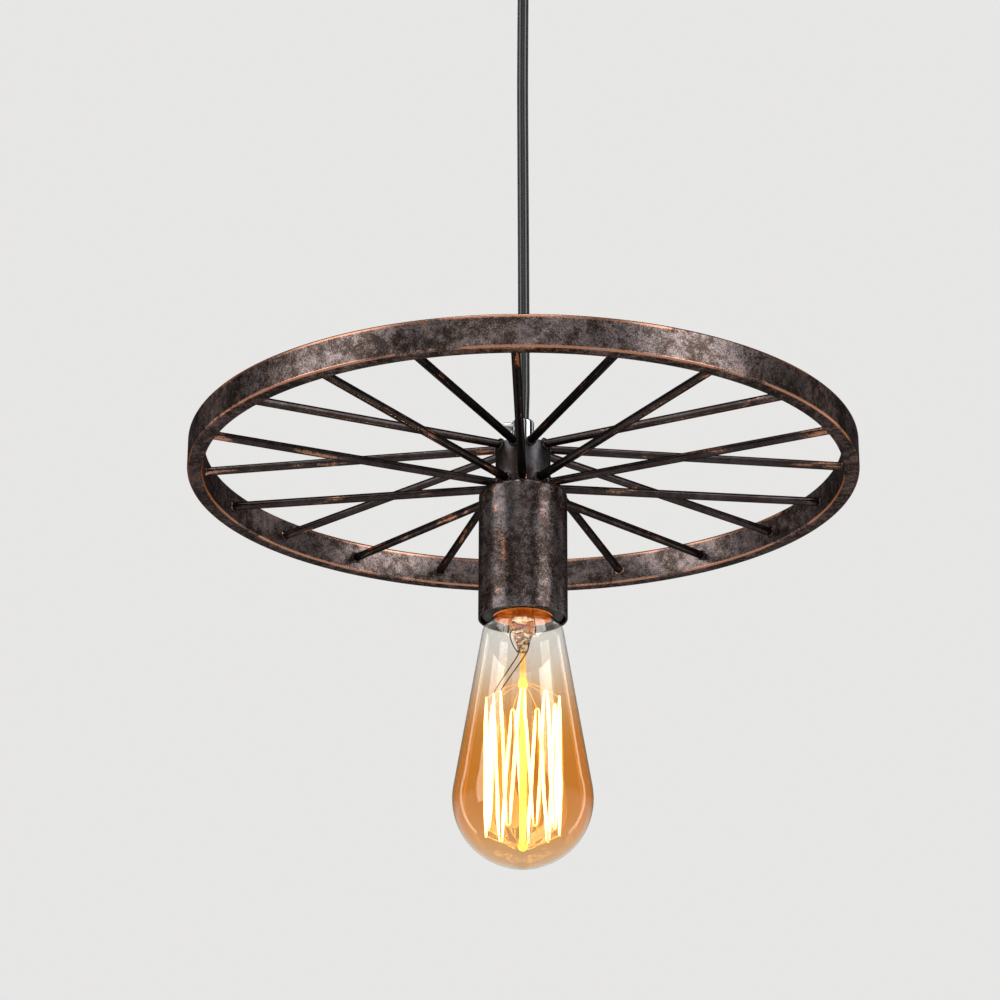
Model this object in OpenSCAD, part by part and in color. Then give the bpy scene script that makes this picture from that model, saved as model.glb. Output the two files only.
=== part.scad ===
// A pendant lamp: a flat iron wheel of straight spokes on a turned hub, with a lamp cup and a
// squirrel-cage bulb under it, hung on a round cord from a ceiling canopy.
// The origin is the centre of the ceiling face and +Z is up, so the whole lamp has negative heights.

/* [Wheel] */
// Outer diameter of the rim
wheel_d = 315; // [240:1:400]
// Thickness of the rim, from its inner to its outer face
rim_thick = 7.5; // [6:0.5:12]
// Height of the rim
rim_height = 15.5; // [10:0.5:30]
// Radius of the rim's rounded edges
rim_edge = 1.2; // [0.4:0.1:2.5]
// Number of spokes, which enter the hub low and high in turn
spoke_count = 20; // [8:4:20]
// Diameter of a spoke
spoke_d = 4; // [3:0.25:5]
// Height of the low spokes where they enter the hub, from the wheel's middle plane
spoke_low = -9.4; // [-10.5:0.1:-6]
// Height of the high spokes where they enter the hub, from the wheel's middle plane
spoke_high = 8.7; // [5:0.1:9.5]
// Height of all spokes where they enter the rim, from the wheel's middle plane
spoke_rim = -1; // [-4:0.5:4]
// Depth of the spoke holes in the hub
spoke_hub_depth = 4; // [2:0.5:5]
// Depth of the spoke holes in the rim
spoke_rim_depth = 2.5; // [1.5:0.5:4]

/* [Hub and tube] */
// Diameter of the hub
hub_d = 26; // [25:0.5:34]
// Height of the hub's top above the wheel's middle plane
hub_rise = 10; // [9.5:0.5:16]
// Depth of the hub's foot below the wheel's middle plane
hub_drop = 13; // [12:0.5:18]
// Bevel of the hub's edges
hub_bevel = 0.6; // [0.2:0.1:1]
// Diameter of the hollow threaded tube
tube_d = 10; // [9.5:0.5:12]
// Bore of the hollow threaded tube
tube_bore = 7.2; // [6:0.2:7.6]

/* [Cup] */
// Outer diameter of the lamp cup
cup_d = 41.5; // [41.5:0.5:50]
// Height of the lamp cup
cup_height = 63; // [62:0.5:80]
// Wall of the lamp cup
cup_wall = 1.2; // [0.6:0.1:1.2]
// Radius of the cup's shoulder
cup_shoulder = 2.5; // [1.5:0.5:6]

/* [Cord and grips] */
// Height from the ceiling to the wheel's middle plane
wheel_drop = 310; // [200:5:900]
// Diameter of the cord
cord_d = 5.5; // [5:0.1:6]
// Diameter of a wire inside the cord
wire_d = 1.9; // [1.2:0.1:2]
// Diameter of the lower cord grip
grip_d = 10.4; // [10:0.1:16]
// Height of the lower cord grip above the hub
grip_height = 13.5; // [12:0.5:24]
// Diameter of the lower grip's threaded foot
grip_foot_d = 8; // [7.6:0.1:9]
// Depth of the lower grip's threaded foot in the hub
grip_foot_depth = 8; // [4:0.5:9]
// Diameter of the upper cord grip where it meets the canopy
gland_d = 14; // [13:0.5:20]
// Length of the upper cord grip below the canopy
gland_length = 16.5; // [15:0.5:26]
// Depth of the upper grip's flared mouth below the cord's bending point
flare_depth = 5.5; // [4:0.5:6]
// Furthest swing of the cord to each side, in degrees
swing_max = 20; // [10:1:22]
// Shank diameter of a clamp screw
clamp_d = 3; // [2.5:0.1:3.6]
// Head diameter of a clamp screw
clamp_head_d = 4.3; // [4:0.1:6]
// Distance that a clamp screw stands out of its grip
clamp_out = 4.4; // [3:0.2:7]

/* [Ceiling canopy] */
// Diameter of the canopy
canopy_d = 100; // [90:1:140]
// Height of the canopy
canopy_height = 25; // [24:0.5:40]
// Wall of the canopy
canopy_wall = 1.2; // [0.8:0.1:2]
// Radius of the canopy's lower edge
canopy_edge = 4; // [2.5:0.5:8]
// Width of the ceiling bracket
bar_width = 20; // [18:1:26]
// Thickness of the ceiling bracket
bar_thick = 2; // [1.5:0.1:3]
// Length of the bracket's end tabs below the ceiling
tab_length = 14; // [13:0.5:18]
// Distance between the two ceiling slots
slot_spacing = 60; // [58:1:66]
// Width of a ceiling slot
slot_width = 5; // [4:0.5:6]
// Length of a ceiling slot from end to end
slot_length = 12; // [8:0.5:13]
// Shank diameter of a canopy screw
canopy_screw_d = 3.9; // [3:0.1:5]
// Head diameter of a canopy screw
canopy_head_d = 7.6; // [6:0.2:9]
// Height of the canopy screws below the ceiling
canopy_screw_drop = 9; // [7:0.5:10]

/* [Lamp holder] */
// Outer diameter of the holder's black skirt
skirt_d = 38.7; // [38.2:0.1:38.9]
// Bore of the holder's brass screw shell
shell_bore = 26.8; // [26.6:0.1:27]
// Wall of the brass screw shell
shell_wall = 0.5; // [0.3:0.1:0.6]
// Depth of the skirt's lip inside the cup's mouth
skirt_recess = 1.5; // [0.5:0.5:3]

/* [Bulb] */
// Diameter of the bulb's glass
bulb_d = 64; // [58:1:70]
// Length of the bulb from its contact to its tip
bulb_length = 143; // [135:1:150]
// Diameter of the bulb's screw cap
cap_d = 26.2; // [25.8:0.1:26.2]
// Wall of the glass
glass_wall = 0.8; // [0.5:0.1:1]
// Slope of the glass between its neck and its belly, in degrees
glass_slope = 9.8; // [9:0.1:11]
// Radius of the rounded glass shoulder
glass_shoulder = 7; // [6:0.5:7.5]
// Radius of the filament cage
cage_r = 17; // [12:0.5:20]
// Height of the filament cage
cage_height = 64; // [50:1:66]
// Number of hooks at each end of the filament cage
cage_hooks = 9; // [6:1:12]

/* [Hidden] */
// How far the bulb comes down before its cap is clear of the shell
bulb_travel = 25;

// Gap around a pressed or screwed piece, around the moving cord, and between moving faces
fit = 0.05;
cord_gap = 0.3;
move_gap = 0.3;

cord_r = cord_d / 2;
wire_r = wire_d / 2;
cord_bore = cord_r + cord_gap;

// Heights of the wheel and what is stacked on its hub
wheel_z = -wheel_drop;
hub_r = hub_d / 2;
hub_top = wheel_z + hub_rise;
hub_foot = wheel_z - hub_drop;
rim_inner = wheel_d / 2 - rim_thick;
grip_top = hub_top + grip_height;
grip_foot = hub_top - grip_foot_depth;
grip_taper = 1.4;
clamp_below_top = 3;
cord_in_grip = 8;
tube_r = tube_d / 2;
tube_top = hub_top - grip_foot_depth - 3;
cup_r = cup_d / 2;
cup_mouth = hub_foot - cup_height;

// Washer and nut under the cup's top
washer_thick = 0.8;
washer_teeth = 12;
nut_across = 14;
nut_thick = 4;
nut_point_r = nut_across / 2 / cos(30);
washer_r = nut_point_r + 1;
washer_z = hub_foot - cup_wall - washer_thick;
nut_z = washer_z - nut_thick;

// Lamp holder, from the lip in the cup's mouth up to the neck that ends under the nut
holder_r = 17.5;
holder_wall = 2;
holder_gap = 0.1;
skirt_r = skirt_d / 2;
skirt_edge = 1;
skirt_lip = cup_mouth + skirt_recess;
skirt_overlap = 9;
lip_r = cap_d / 2 + 0.7;
lip_bevel = 0.6;
lip_depth = 4.5;
shell_length = 24;
shell_lid = 0.6;
shell_lid_r = 9;
shell_seat = 0.4;
shell_r = shell_bore / 2;
shell_end = skirt_lip + lip_depth;
shell_top = shell_end + shell_length - shell_lid;
insert_r = holder_r - holder_wall - holder_gap;
insert_thick = 8;
insert_z = shell_end + shell_length;
terminal_side = 5;
terminal_y = 9;
terminal_rise = 3;
terminal_sink = 6;
terminal_top = insert_z + insert_thick + terminal_rise;
wire_hole_r = wire_r + 0.35;
wire_lead = 0.4;
wire_in_hole = 2.5;
wire_room = 4.1;
holder_dome = 5;
dome_foot = terminal_top + wire_room;
tube_end = dome_foot + holder_dome;
neck_wall = 3;
neck_gap = 0.4;
holder_top = nut_z - neck_gap;
contact_thick = 0.6;

// Bulb heights
bulb_r = bulb_d / 2;
bulb_top = insert_z - 4;
bulb_tip = bulb_top - bulb_length;
belly_z = bulb_tip + bulb_r;
cap_r = cap_d / 2;
cap_wall = 0.4;
cap_top = bulb_top - 3.5;
cap_end = bulb_top - 23.5;
button_r = 5;
button_thick = 1;
neck_r = cap_r - cap_wall - 0.1;
neck_top = cap_top - 4.5;
shoulder_z = cap_end - 9.7;
shoulder_x = (bulb_r - glass_shoulder - (shoulder_z - belly_z) * sin(glass_slope)) / cos(glass_slope);
stem_r = 4.2;
stem_neck_z = neck_top - 6;
press_z = cap_end - 6;
press_end = press_z - 13;
rod_r = 1.5;
bead_r = 2.4;
bead_length = 3;
cage_rise = 47;
cage_top = belly_z + cage_rise;
cage_foot = cage_top - cage_height;
star_rise = 7;
star_top = cage_top + star_rise;
star_drop = 5;
star_foot = cage_foot - star_drop;
hook_drop = 0.8;
filament_r = 0.25;
support_r = 0.3;
support_gap = 0.4;
lead_r = 0.4;
lead_gap = 0.1;
lead_side = 3.9;
lead_apart = 1.2;
lead_rise = 3;

// Ceiling end
canopy_r = canopy_d / 2;
canopy_in = canopy_r - canopy_wall;
canopy_z = -canopy_height;
bar_half = sqrt(pow(canopy_in, 2) - pow(bar_width / 2, 2)) - 0.15;
tab_half = bar_width / 2 - 2;
gland_foot = canopy_z - gland_length;
bend_z = gland_foot + flare_depth;
gland_stub = 8;
gland_screw_z = canopy_z - 3.5;
tilt_max = acos(pow(cos(swing_max), 2));
bend_room = norm([cord_r, cord_r + move_gap]) + 0.5;
mouth_r = cord_r / cos(tilt_max) + flare_depth * tan(tilt_max) + 0.6;
mouth_wall = 1.2;
tail_end = bend_z + cord_r + move_gap;
tail_top = canopy_z + gland_stub + 2;
block_x = -20;
block_long = 14;
block_wide = 14;
block_high = 10;
pole_y = 3.5;
pole_z = -bar_thick - block_high / 2;
pole_screw_r = 1.5;
pole_screw_from_end = 3;
block_screw_r = 1.5;
block_head_r = 2.7;
core_y = wire_r + 0.2;

// The cord's route: straight down from the bend in the upper grip into the lower grip
cord_top = bend_z - cord_r - move_gap;
cord_end = grip_top - cord_in_grip;
cord_route = [[0, 0, cord_top], [0, 0, cord_end]];
cord_ring_step = 2.5 * cord_d;

SPOKES = [for (k = [1:spoke_count]) str("spoke_", k < 10 ? "0" : "", k)];

$fn = 64;
iron = "#4b3f38";
dark_plastic = "#1c1b1b";

// Points of a round stretch about a centre, from one angle to another
function arc(x, y, r, from, to, steps) =
    [for (i = [0:steps]) let (a = from + (to - from) * i / steps) [x + r * cos(a), y + r * sin(a)]];

function unit(v) = v / norm(v);

// Direction of a path at one of its points
function heading(path, i) = unit(path[min(i + 1, len(path) - 1)] - path[max(i - 1, 0)]);

// Any direction square to another
function square_to(t) = unit(cross(t, abs(t.z) < 0.9 ? [0, 0, 1] : [1, 0, 0]));

// The first direction turned no more than the path needs to stay square to it
function carried(u, t) = unit(u - (u * t) * t);

// Rings of points around a path
function path_rings(path, r, sides) = [
    for (i = 0, u = square_to(heading(path, 0)); i < len(path);
         i = i + 1, u = i < len(path) ? carried(u, heading(path, i)) : u)
        let (v = cross(heading(path, i), u))
            [for (j = [0:sides - 1]) let (a = 360 * j / sides) path[i] + r * (cos(a) * u + sin(a) * v)]
];

// Points along a curve that leaves its start and reaches its end in given directions
function curve(start, leave, arrive, end, steps) = [
    for (i = [0:steps]) let (t = i / steps, s = 1 - t)
        s * s * s * start + 3 * s * s * t * (start + leave) + 3 * s * t * t * (end + arrive) + t * t * t * end
];

// Points at even steps along a straight line
function even_steps(from, to, step) =
    let (count = ceil(norm(to - from) / step)) [for (i = [0:count]) from + (to - from) * i / count];

// A closed tube swept along a path
module sweep(path, r, sides) {
    rings = path_rings(path, r, sides);
    last = (len(path) - 1) * sides;
    start_cap = [[for (j = [0:sides - 1]) j]];
    end_cap = [[for (j = [0:sides - 1]) last + sides - 1 - j]];
    walls = [
        for (i = [0:len(path) - 2]) for (j = [0:sides - 1])
            let (a = i * sides + j, b = i * sides + (j + 1) % sides)
                [a, a + sides, b + sides, b]
    ];
    polyhedron(points = [for (ring = rings) each ring], faces = concat(start_cap, walls, end_cap));
}

// A round bar between two heights
module bar_z(r, low, high) {
    translate([0, 0, low]) cylinder(r = r, h = high - low);
}

// A round bar along X from one place to another
module bar_x(r, from, to) {
    translate([from, 0, 0]) rotate([0, 90, 0]) cylinder(r = r, h = to - from);
}

// Puts its children at one spoke's entry into the hub, with +Z along the spoke
module along_spoke(k) {
    height = k % 2 == 1 ? spoke_low : spoke_high;
    rise = atan2(spoke_rim - height, rim_inner - hub_r);
    rotate([0, 0, 360 * (k - 1) / spoke_count - 90])
        translate([hub_r, 0, wheel_z + height])
            rotate([0, 90 - rise, 0])
                children();
}

function spoke_span(k) =
    norm([rim_inner - hub_r, spoke_rim - (k % 2 == 1 ? spoke_low : spoke_high)]);

module spoke_bar(k, r, extra) {
    along_spoke(k)
        translate([0, 0, -spoke_hub_depth - extra])
            cylinder(r = r, h = spoke_span(k) + spoke_hub_depth + spoke_rim_depth + 2 * extra);
}

module spoke(k) {
    color(iron) spoke_bar(k, spoke_d / 2, 0);
}

module spoke_holes() {
    for (k = [1:spoke_count]) spoke_bar(k, spoke_d / 2 + fit, fit);
}

// Half outline of a plain cup that stands on z = 0, with a rounded foot and a rounded lip
function cup_outline(r, height, edge, wall, lip_steps) = concat(
    [[0, 0]],
    arc(r - edge, edge, edge, -90, 0, 6),
    lip_steps > 0
        ? arc(r - wall / 2, height - wall / 2, wall / 2, 0, 180, lip_steps)
        : [[r, height], [r - wall, height]],
    arc(r - edge, edge, edge - wall, 0, -90, 6),
    [[0, wall]]
);

module hub() {
    color(iron) difference() {
        rotate_extrude() polygon([
            [0, hub_foot], [hub_r - hub_bevel, hub_foot], [hub_r, hub_foot + hub_bevel],
            [hub_r, hub_top - hub_bevel], [hub_r - hub_bevel, hub_top], [0, hub_top]
        ]);
        bar_z(grip_foot_d / 2 + fit, tube_top, hub_top + 1);
        bar_z(tube_r + fit, hub_foot - 1, tube_top + fit);
        spoke_holes();
    }
}

module rim() {
    half = rim_height / 2 - rim_edge;
    mid = rim_inner + rim_thick / 2;
    side = rim_thick / 2 - rim_edge;
    color(iron) difference() {
        translate([0, 0, wheel_z]) rotate_extrude() polygon(concat(
            arc(mid + side, half, rim_edge, 0, 90, 3),
            arc(mid - side, half, rim_edge, 90, 180, 3),
            arc(mid - side, -half, rim_edge, 180, 270, 3),
            arc(mid + side, -half, rim_edge, 270, 360, 3)
        ));
        spoke_holes();
    }
}

module threaded_tube() {
    color("silver") difference() {
        bar_z(tube_r, tube_end, tube_top);
        bar_z(tube_bore / 2, tube_end - 1, tube_top + 1);
    }
}

module cup() {
    color(iron) difference() {
        translate([0, 0, hub_foot]) mirror([0, 0, 1])
            rotate_extrude() polygon(cup_outline(cup_r, cup_height, cup_shoulder, cup_wall, 6));
        bar_z(tube_r + fit, hub_foot - cup_wall - 1, hub_foot + 1);
    }
}

module toothed_washer() {
    color("silver") difference() {
        bar_z(washer_r, washer_z, washer_z + washer_thick);
        bar_z(tube_r + fit, washer_z - 1, washer_z + washer_thick + 1);
        for (k = [1:washer_teeth]) rotate([0, 0, 360 * k / washer_teeth])
            translate([washer_r - 1.2, -0.4, washer_z - 1]) cube([3, 0.8, washer_thick + 2]);
    }
}

// A hexagonal nut for the tube's thread
module tube_nut(low) {
    color("silver") difference() {
        translate([0, 0, low]) cylinder(r = nut_point_r, h = nut_thick, $fn = 6);
        bar_z(tube_r + fit, low - 1, low + nut_thick + 1);
    }
}

module hub_nut() {
    tube_nut(nut_z);
}

// Insulating cap of the lamp holder, which screws onto the tube
module socket_cap() {
    neck = tube_r + neck_wall;
    color(dark_plastic) rotate_extrude() polygon([
        [tube_r + fit, holder_top], [neck, holder_top], [neck, tube_end], [holder_r, dome_foot],
        [holder_r, insert_z], [holder_r - holder_wall, insert_z],
        [holder_r - holder_wall, dome_foot - holder_wall / 2], [neck - neck_wall / 2, tube_end - holder_wall],
        [tube_r + fit, tube_end - holder_wall]
    ]);
}

// Places its children at the live and the neutral terminal
module at_terminals() {
    for (y = [-terminal_y, terminal_y]) translate([0, y, 0]) children();
}

module terminal_block_shape(gap) {
    side = terminal_side + 2 * gap;
    low = insert_z + insert_thick - terminal_sink - gap;
    translate([-side / 2, -side / 2, low]) cube([side, side, terminal_sink + terminal_rise + gap]);
}

module socket_insert() {
    color("ivory") difference() {
        bar_z(insert_r, insert_z, insert_z + insert_thick);
        bar_z(1.5 + fit, insert_z - 1, insert_z + insert_thick + 1);
        at_terminals() terminal_block_shape(fit);
    }
}

module socket_terminals() {
    color("goldenrod") at_terminals() difference() {
        terminal_block_shape(0);
        bar_z(wire_hole_r, terminal_top - 5, terminal_top + 1);
        translate([0, 0, terminal_top - 1.6]) bar_x(0.9 + fit, 0, terminal_side);
    }
}

module socket_terminal_screws() {
    color("silver") at_terminals() translate([0, 0, terminal_top - 1.6]) difference() {
        bar_x(0.9, wire_r + fit, terminal_side / 2 + 0.8);
        translate([terminal_side / 2 + 0.4, -0.2, -2]) cube([1, 0.4, 4]);
    }
}

// Centre contact: a round pad on a stud through the insert
module socket_contact() {
    pad = bulb_top + move_gap;
    color("goldenrod") union() {
        bar_z(4, pad, pad + contact_thick);
        bar_z(1.5, pad + contact_thick, insert_z + insert_thick - 2);
    }
}

// Brass sleeve that takes the bulb's cap; its thread is a plain bore here
module socket_shell() {
    outer = shell_r + shell_wall;
    color("goldenrod") rotate_extrude() polygon([
        [shell_lid_r, insert_z], [outer, insert_z], [outer, shell_end], [shell_r, shell_end],
        [shell_r, shell_top], [shell_lid_r, shell_top]
    ]);
}

// Black skirt that closes the holder, with the lip that shows in the cup's mouth
module socket_skirt() {
    top = insert_z + skirt_overlap;
    overlap_r = holder_r + holder_gap;
    sleeve_r = shell_r + shell_wall + holder_gap;
    shelf = shell_end - shell_seat;
    color(dark_plastic) rotate_extrude() polygon(concat([
        [overlap_r, top], [skirt_r, top], [skirt_r, skirt_lip + skirt_edge]],
        arc(skirt_r - skirt_edge, skirt_lip + skirt_edge, skirt_edge, 0, -90, 3),
        [[lip_r + lip_bevel, skirt_lip], [lip_r, skirt_lip + lip_bevel], [lip_r, shelf],
        [sleeve_r, shelf], [sleeve_r, insert_z - fit], [overlap_r, insert_z - fit]
    ]));
}

// One wire from the cord's end, down the tube and out to its terminal
module lamp_wire(way) {
    from = [0, way * core_y, cord_end - move_gap];
    bend = [0, way * core_y, tube_end];
    mouth = [0, way * terminal_y, terminal_top + wire_lead];
    drop = tube_end - mouth.z;
    bent = curve(bend, [0, 0, -drop / 2], [0, 0, drop / 2], mouth, 8);
    sweep(concat(
        even_steps(from, bend, 12),
        [for (i = [1:len(bent) - 1]) bent[i]],
        [mouth - [0, 0, wire_lead + wire_in_hole]]
    ), wire_r, 8);
}

module lamp_live_wire() {
    color("saddlebrown") lamp_wire(1);
}

module lamp_neutral_wire() {
    color("steelblue") lamp_wire(-1);
}

// Clamp screw of a cord grip, on the -X side, with a knurled and slotted head
module clamp_screw(z, grip_r) {
    head_r = clamp_head_d / 2;
    face = grip_r + 0.15;
    end = grip_r + clamp_out;
    color("gainsboro") translate([0, 0, z]) rotate([0, 0, 180]) difference() {
        union() {
            bar_x(clamp_d / 2, cord_bore, face + 0.5);
            bar_x(head_r, face, end - 0.4);
            bar_x(head_r - 0.4, end - 0.5, end);
        }
        translate([end - 1, -0.3, -head_r]) cube([2, 0.6, 2 * head_r]);
        for (k = [1:16]) rotate([360 * k / 16, 0, 0])
            translate([face + 0.6, -0.15, head_r - 0.15]) cube([end - face - 1.4, 0.3, 1]);
    }
}

module clamp_hole(z, grip_r) {
    translate([0, 0, z]) rotate([0, 0, 180]) bar_x(clamp_d / 2 + fit, 0, grip_r + 2);
}

module lamp_gland() {
    r = grip_d / 2;
    foot_r = grip_foot_d / 2;
    color("gainsboro") difference() {
        rotate_extrude() polygon([
            [cord_bore, grip_foot], [foot_r - 0.3, grip_foot], [foot_r, grip_foot + 0.3],
            [foot_r, hub_top], [r, hub_top], [r, grip_top - grip_taper],
            [r - 1.2, grip_top], [cord_bore, grip_top]
        ]);
        clamp_hole(grip_top - clamp_below_top, r);
    }
}

module lamp_gland_screw() {
    clamp_screw(grip_top - clamp_below_top, grip_d / 2);
}

// Upper cord grip, with a flared mouth that leaves the swinging cord free
module canopy_gland() {
    r = gland_d / 2;
    stub_r = tube_r;
    shelf = bend_z + cord_r + move_gap + 0.55;
    color("gainsboro") difference() {
        rotate_extrude() polygon([
            [cord_bore, canopy_z + gland_stub], [stub_r, canopy_z + gland_stub], [stub_r, canopy_z],
            [r - 0.5, canopy_z], [r, canopy_z - 0.5], [r, bend_z + 1],
            [max(r, mouth_r + mouth_wall), gland_foot + 0.8],
            [max(r, mouth_r + mouth_wall) - 0.6, gland_foot],
            [mouth_r, gland_foot], [bend_room, bend_z], [bend_room, shelf], [cord_bore, shelf]
        ]);
        clamp_hole(gland_screw_z, r);
    }
}

module canopy_gland_nut() {
    tube_nut(canopy_z + canopy_wall);
}

module canopy_gland_screw() {
    clamp_screw(gland_screw_z, gland_d / 2);
}

module canopy() {
    color(iron) difference() {
        translate([0, 0, canopy_z])
            rotate_extrude() polygon(cup_outline(canopy_r, canopy_height, canopy_edge, canopy_wall, 0));
        bar_z(tube_r + fit, canopy_z - 1, canopy_z + canopy_wall + 1);
        translate([0, 0, -canopy_screw_drop]) bar_x(canopy_screw_d / 2 + 0.2, -canopy_r - 1, canopy_r + 1);
    }
}

// One slot along X, at its own centre
module slot_hole() {
    r = slot_width / 2;
    reach = slot_length / 2 - r;
    for (x = [-reach, reach]) translate([x, 0, -bar_thick - 1]) cylinder(r = r, h = bar_thick + 2);
    translate([-reach, -r, -bar_thick - 1]) cube([2 * reach, slot_width, bar_thick + 2]);
}

module ceiling_bracket() {
    screw_x = block_x + block_long / 2;
    color("silver") difference() {
        union() {
            translate([-bar_half, -bar_width / 2, -bar_thick]) cube([2 * bar_half, bar_width, bar_thick]);
            for (x = [-bar_half, bar_half - bar_thick])
                translate([x, -tab_half, -tab_length]) cube([bar_thick, 2 * tab_half, tab_length]);
        }
        for (x = [-slot_spacing / 2, slot_spacing / 2]) translate([x, 0, 0]) slot_hole();
        translate([screw_x, 0, -bar_thick - 1]) cylinder(r = block_screw_r + fit, h = bar_thick + 2);
        translate([0, 0, -canopy_screw_drop]) bar_x(canopy_screw_d / 2 + fit, -canopy_r, canopy_r);
    }
}

module canopy_screws() {
    head_from = canopy_r + 0.05;
    color("gainsboro") for (turn = [0, 180]) rotate([0, 0, turn])
        translate([0, 0, -canopy_screw_drop]) difference() {
            union() {
                bar_x(canopy_screw_d / 2, bar_half - bar_thick - 1, head_from + 0.5);
                bar_x(canopy_head_d / 2, head_from, head_from + 1.8);
                bar_x(canopy_head_d / 2 - 0.5, head_from + 1.7, head_from + 2.3);
            }
            translate([head_from + 1.3, -0.5, -canopy_head_d]) cube([3, 1, 2 * canopy_head_d]);
        }
}

module terminal_block() {
    floor_z = -bar_thick - block_high;
    screw_x = block_x + block_long / 2;
    color("whitesmoke") difference() {
        translate([block_x, -block_wide / 2, floor_z]) cube([block_long, block_wide, block_high]);
        for (y = [-pole_y, pole_y]) {
            translate([0, y, pole_z]) bar_x(wire_hole_r, block_x - 1, block_x + block_long + 1);
            for (x = [pole_screw_from_end, block_long - pole_screw_from_end])
                translate([block_x + x, y, 0]) bar_z(pole_screw_r + fit, floor_z - 1, pole_z);
        }
        translate([screw_x, 0, 0]) bar_z(block_screw_r + fit, floor_z - 1, 0);
        translate([screw_x, 0, 0]) bar_z(block_head_r + 0.2, floor_z - 1, floor_z + 2.5);
    }
}

module terminal_screws() {
    floor_z = -bar_thick - block_high;
    tip = pole_z - wire_r - fit;
    color("silver") for (y = [-pole_y, pole_y])
        for (x = [pole_screw_from_end, block_long - pole_screw_from_end])
            translate([block_x + x, y, 0]) difference() {
                bar_z(pole_screw_r, floor_z + 0.4, tip);
                translate([-2, -0.25, floor_z]) cube([4, 0.5, 1.2]);
            }
}

module block_screw() {
    floor_z = -bar_thick - block_high;
    color("silver") translate([block_x + block_long / 2, 0, 0]) difference() {
        union() {
            bar_z(block_screw_r, floor_z + 1, -0.3);
            bar_z(block_head_r, floor_z + 0.7, floor_z + 2.5);
        }
        translate([-3, -0.35, floor_z]) cube([6, 0.7, 1.7]);
    }
}

// One wire from the stripped cord to its pole in the terminal block
module ceiling_wire(way) {
    from = [0, way * core_y, tail_top + wire_lead];
    mouth = [block_x + block_long + wire_lead, way * pole_y, pole_z];
    rise = pole_z - from.z;
    sweep(concat(
        [from - [0, 0, wire_lead - fit]],
        curve(from, [0, 0, rise * 0.8], [3, 0, 0], mouth, 8),
        [mouth - [wire_lead + wire_in_hole, 0, 0]]
    ), wire_r, 8);
}

module live_wire() {
    color("saddlebrown") ceiling_wire(1);
}

module neutral_wire() {
    color("steelblue") ceiling_wire(-1);
}

// The cord's clamped end, which stays still inside the upper grip and the canopy
module cord_tail() {
    color(dark_plastic) bar_z(cord_r, tail_end, tail_top);
}

// The cord's bending stretch, as a ball of the cord's own diameter
module cord_bend() {
    color(dark_plastic) translate([0, 0, bend_z]) sphere(r = cord_r);
}

module cord() {
    color(dark_plastic) sweep(even_steps(cord_route[0], cord_route[1], cord_ring_step), cord_r, 12);
}

module bulb_contact() {
    color("silver") union() {
        bar_z(button_r, bulb_top - button_thick, bulb_top);
        bar_z(0.9, bulb_top - button_thick - 1.5, bulb_top - button_thick);
    }
}

// Black glass between the bulb's contact and its screw cap
module bulb_insulator() {
    top = bulb_top - button_thick - fit;
    side_r = cap_r - cap_wall - fit;
    color(dark_plastic) rotate_extrude() polygon([
        [1, top], [button_r, top], [side_r - 1.5, cap_top], [side_r, cap_top - 0.6], [side_r, cap_top - 3.5],
        [side_r - 1.5, cap_top - 3.5], [side_r - 3, cap_top - 1.6], [1, top - 1.6]
    ]);
}

// The bulb's screw cap; its thread is a plain sleeve here
module bulb_cap() {
    color("silver") difference() {
        bar_z(cap_r, cap_end, cap_top);
        bar_z(cap_r - cap_wall, cap_end - 1, cap_top + 1);
    }
}

// Half outline of the glass from its neck to its tip, moved in by a depth
function glass_outline(depth) = concat(
    [[neck_r - depth, neck_top]],
    arc(shoulder_x, shoulder_z, glass_shoulder - depth,
        acos((neck_r - depth - shoulder_x) / (glass_shoulder - depth)), glass_slope, 6),
    arc(0, belly_z, bulb_r - depth, glass_slope, -90, 20)
);

module bulb_glass() {
    outer = glass_outline(0);
    inner = glass_outline(glass_wall);
    color("orange", 0.4) rotate_extrude()
        polygon(concat(outer, [for (i = [len(inner) - 1:-1:0]) inner[i]]));
}

// Glass stem: flare sealed to the neck, tube, flattened press, and the long rod with its two beads
module bulb_stem() {
    flare_r = neck_r - glass_wall - fit;
    half_bead = bead_length / 2;
    wall = 0.8;
    color("lightyellow", 0.6) rotate_extrude() polygon([
        [flare_r, neck_top - 1], [flare_r, neck_top - 2], [stem_r, stem_neck_z], [stem_r, press_z - 2],
        [2.2, press_end], [rod_r, press_end - 2],
        [rod_r, star_top + half_bead + 1], [bead_r, star_top + half_bead],
        [bead_r, star_top - half_bead], [rod_r, star_top - half_bead - 1],
        [rod_r, star_foot + half_bead + 1], [bead_r, star_foot + half_bead],
        [bead_r, star_foot - half_bead], [0, star_foot - half_bead - 1],
        [0, press_z], [stem_r - wall, press_z + 1], [stem_r - wall, stem_neck_z], [flare_r - wall, neck_top - 1]
    ]);
}

// A hook's place on the cage
function cage_place(turn, height) = [cage_r * cos(turn), cage_r * sin(turn), height];

// Angle of the first hook, which takes the live lead
cage_start = 180;
cage_step = 360 / cage_hooks;

// Wire supports from a bead to just inside the filament's hooks
module support_star(bead_z, hook_z, offset) {
    reach = cage_r - filament_r - support_gap;
    from = bead_r + support_r;
    rise = atan2(hook_z - bead_z, reach - from);
    for (k = [0:cage_hooks - 1]) rotate([0, 0, cage_start + (k + offset) * cage_step])
        translate([from, 0, bead_z]) rotate([0, 90 - rise, 0])
            cylinder(r = support_r, h = norm([reach - from, hook_z - bead_z]), $fn = 16);
}

module bulb_supports() {
    color("silver") union() {
        support_star(star_top, cage_top, 0.25);
        support_star(star_foot, cage_foot, 0.75);
    }
}

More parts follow.
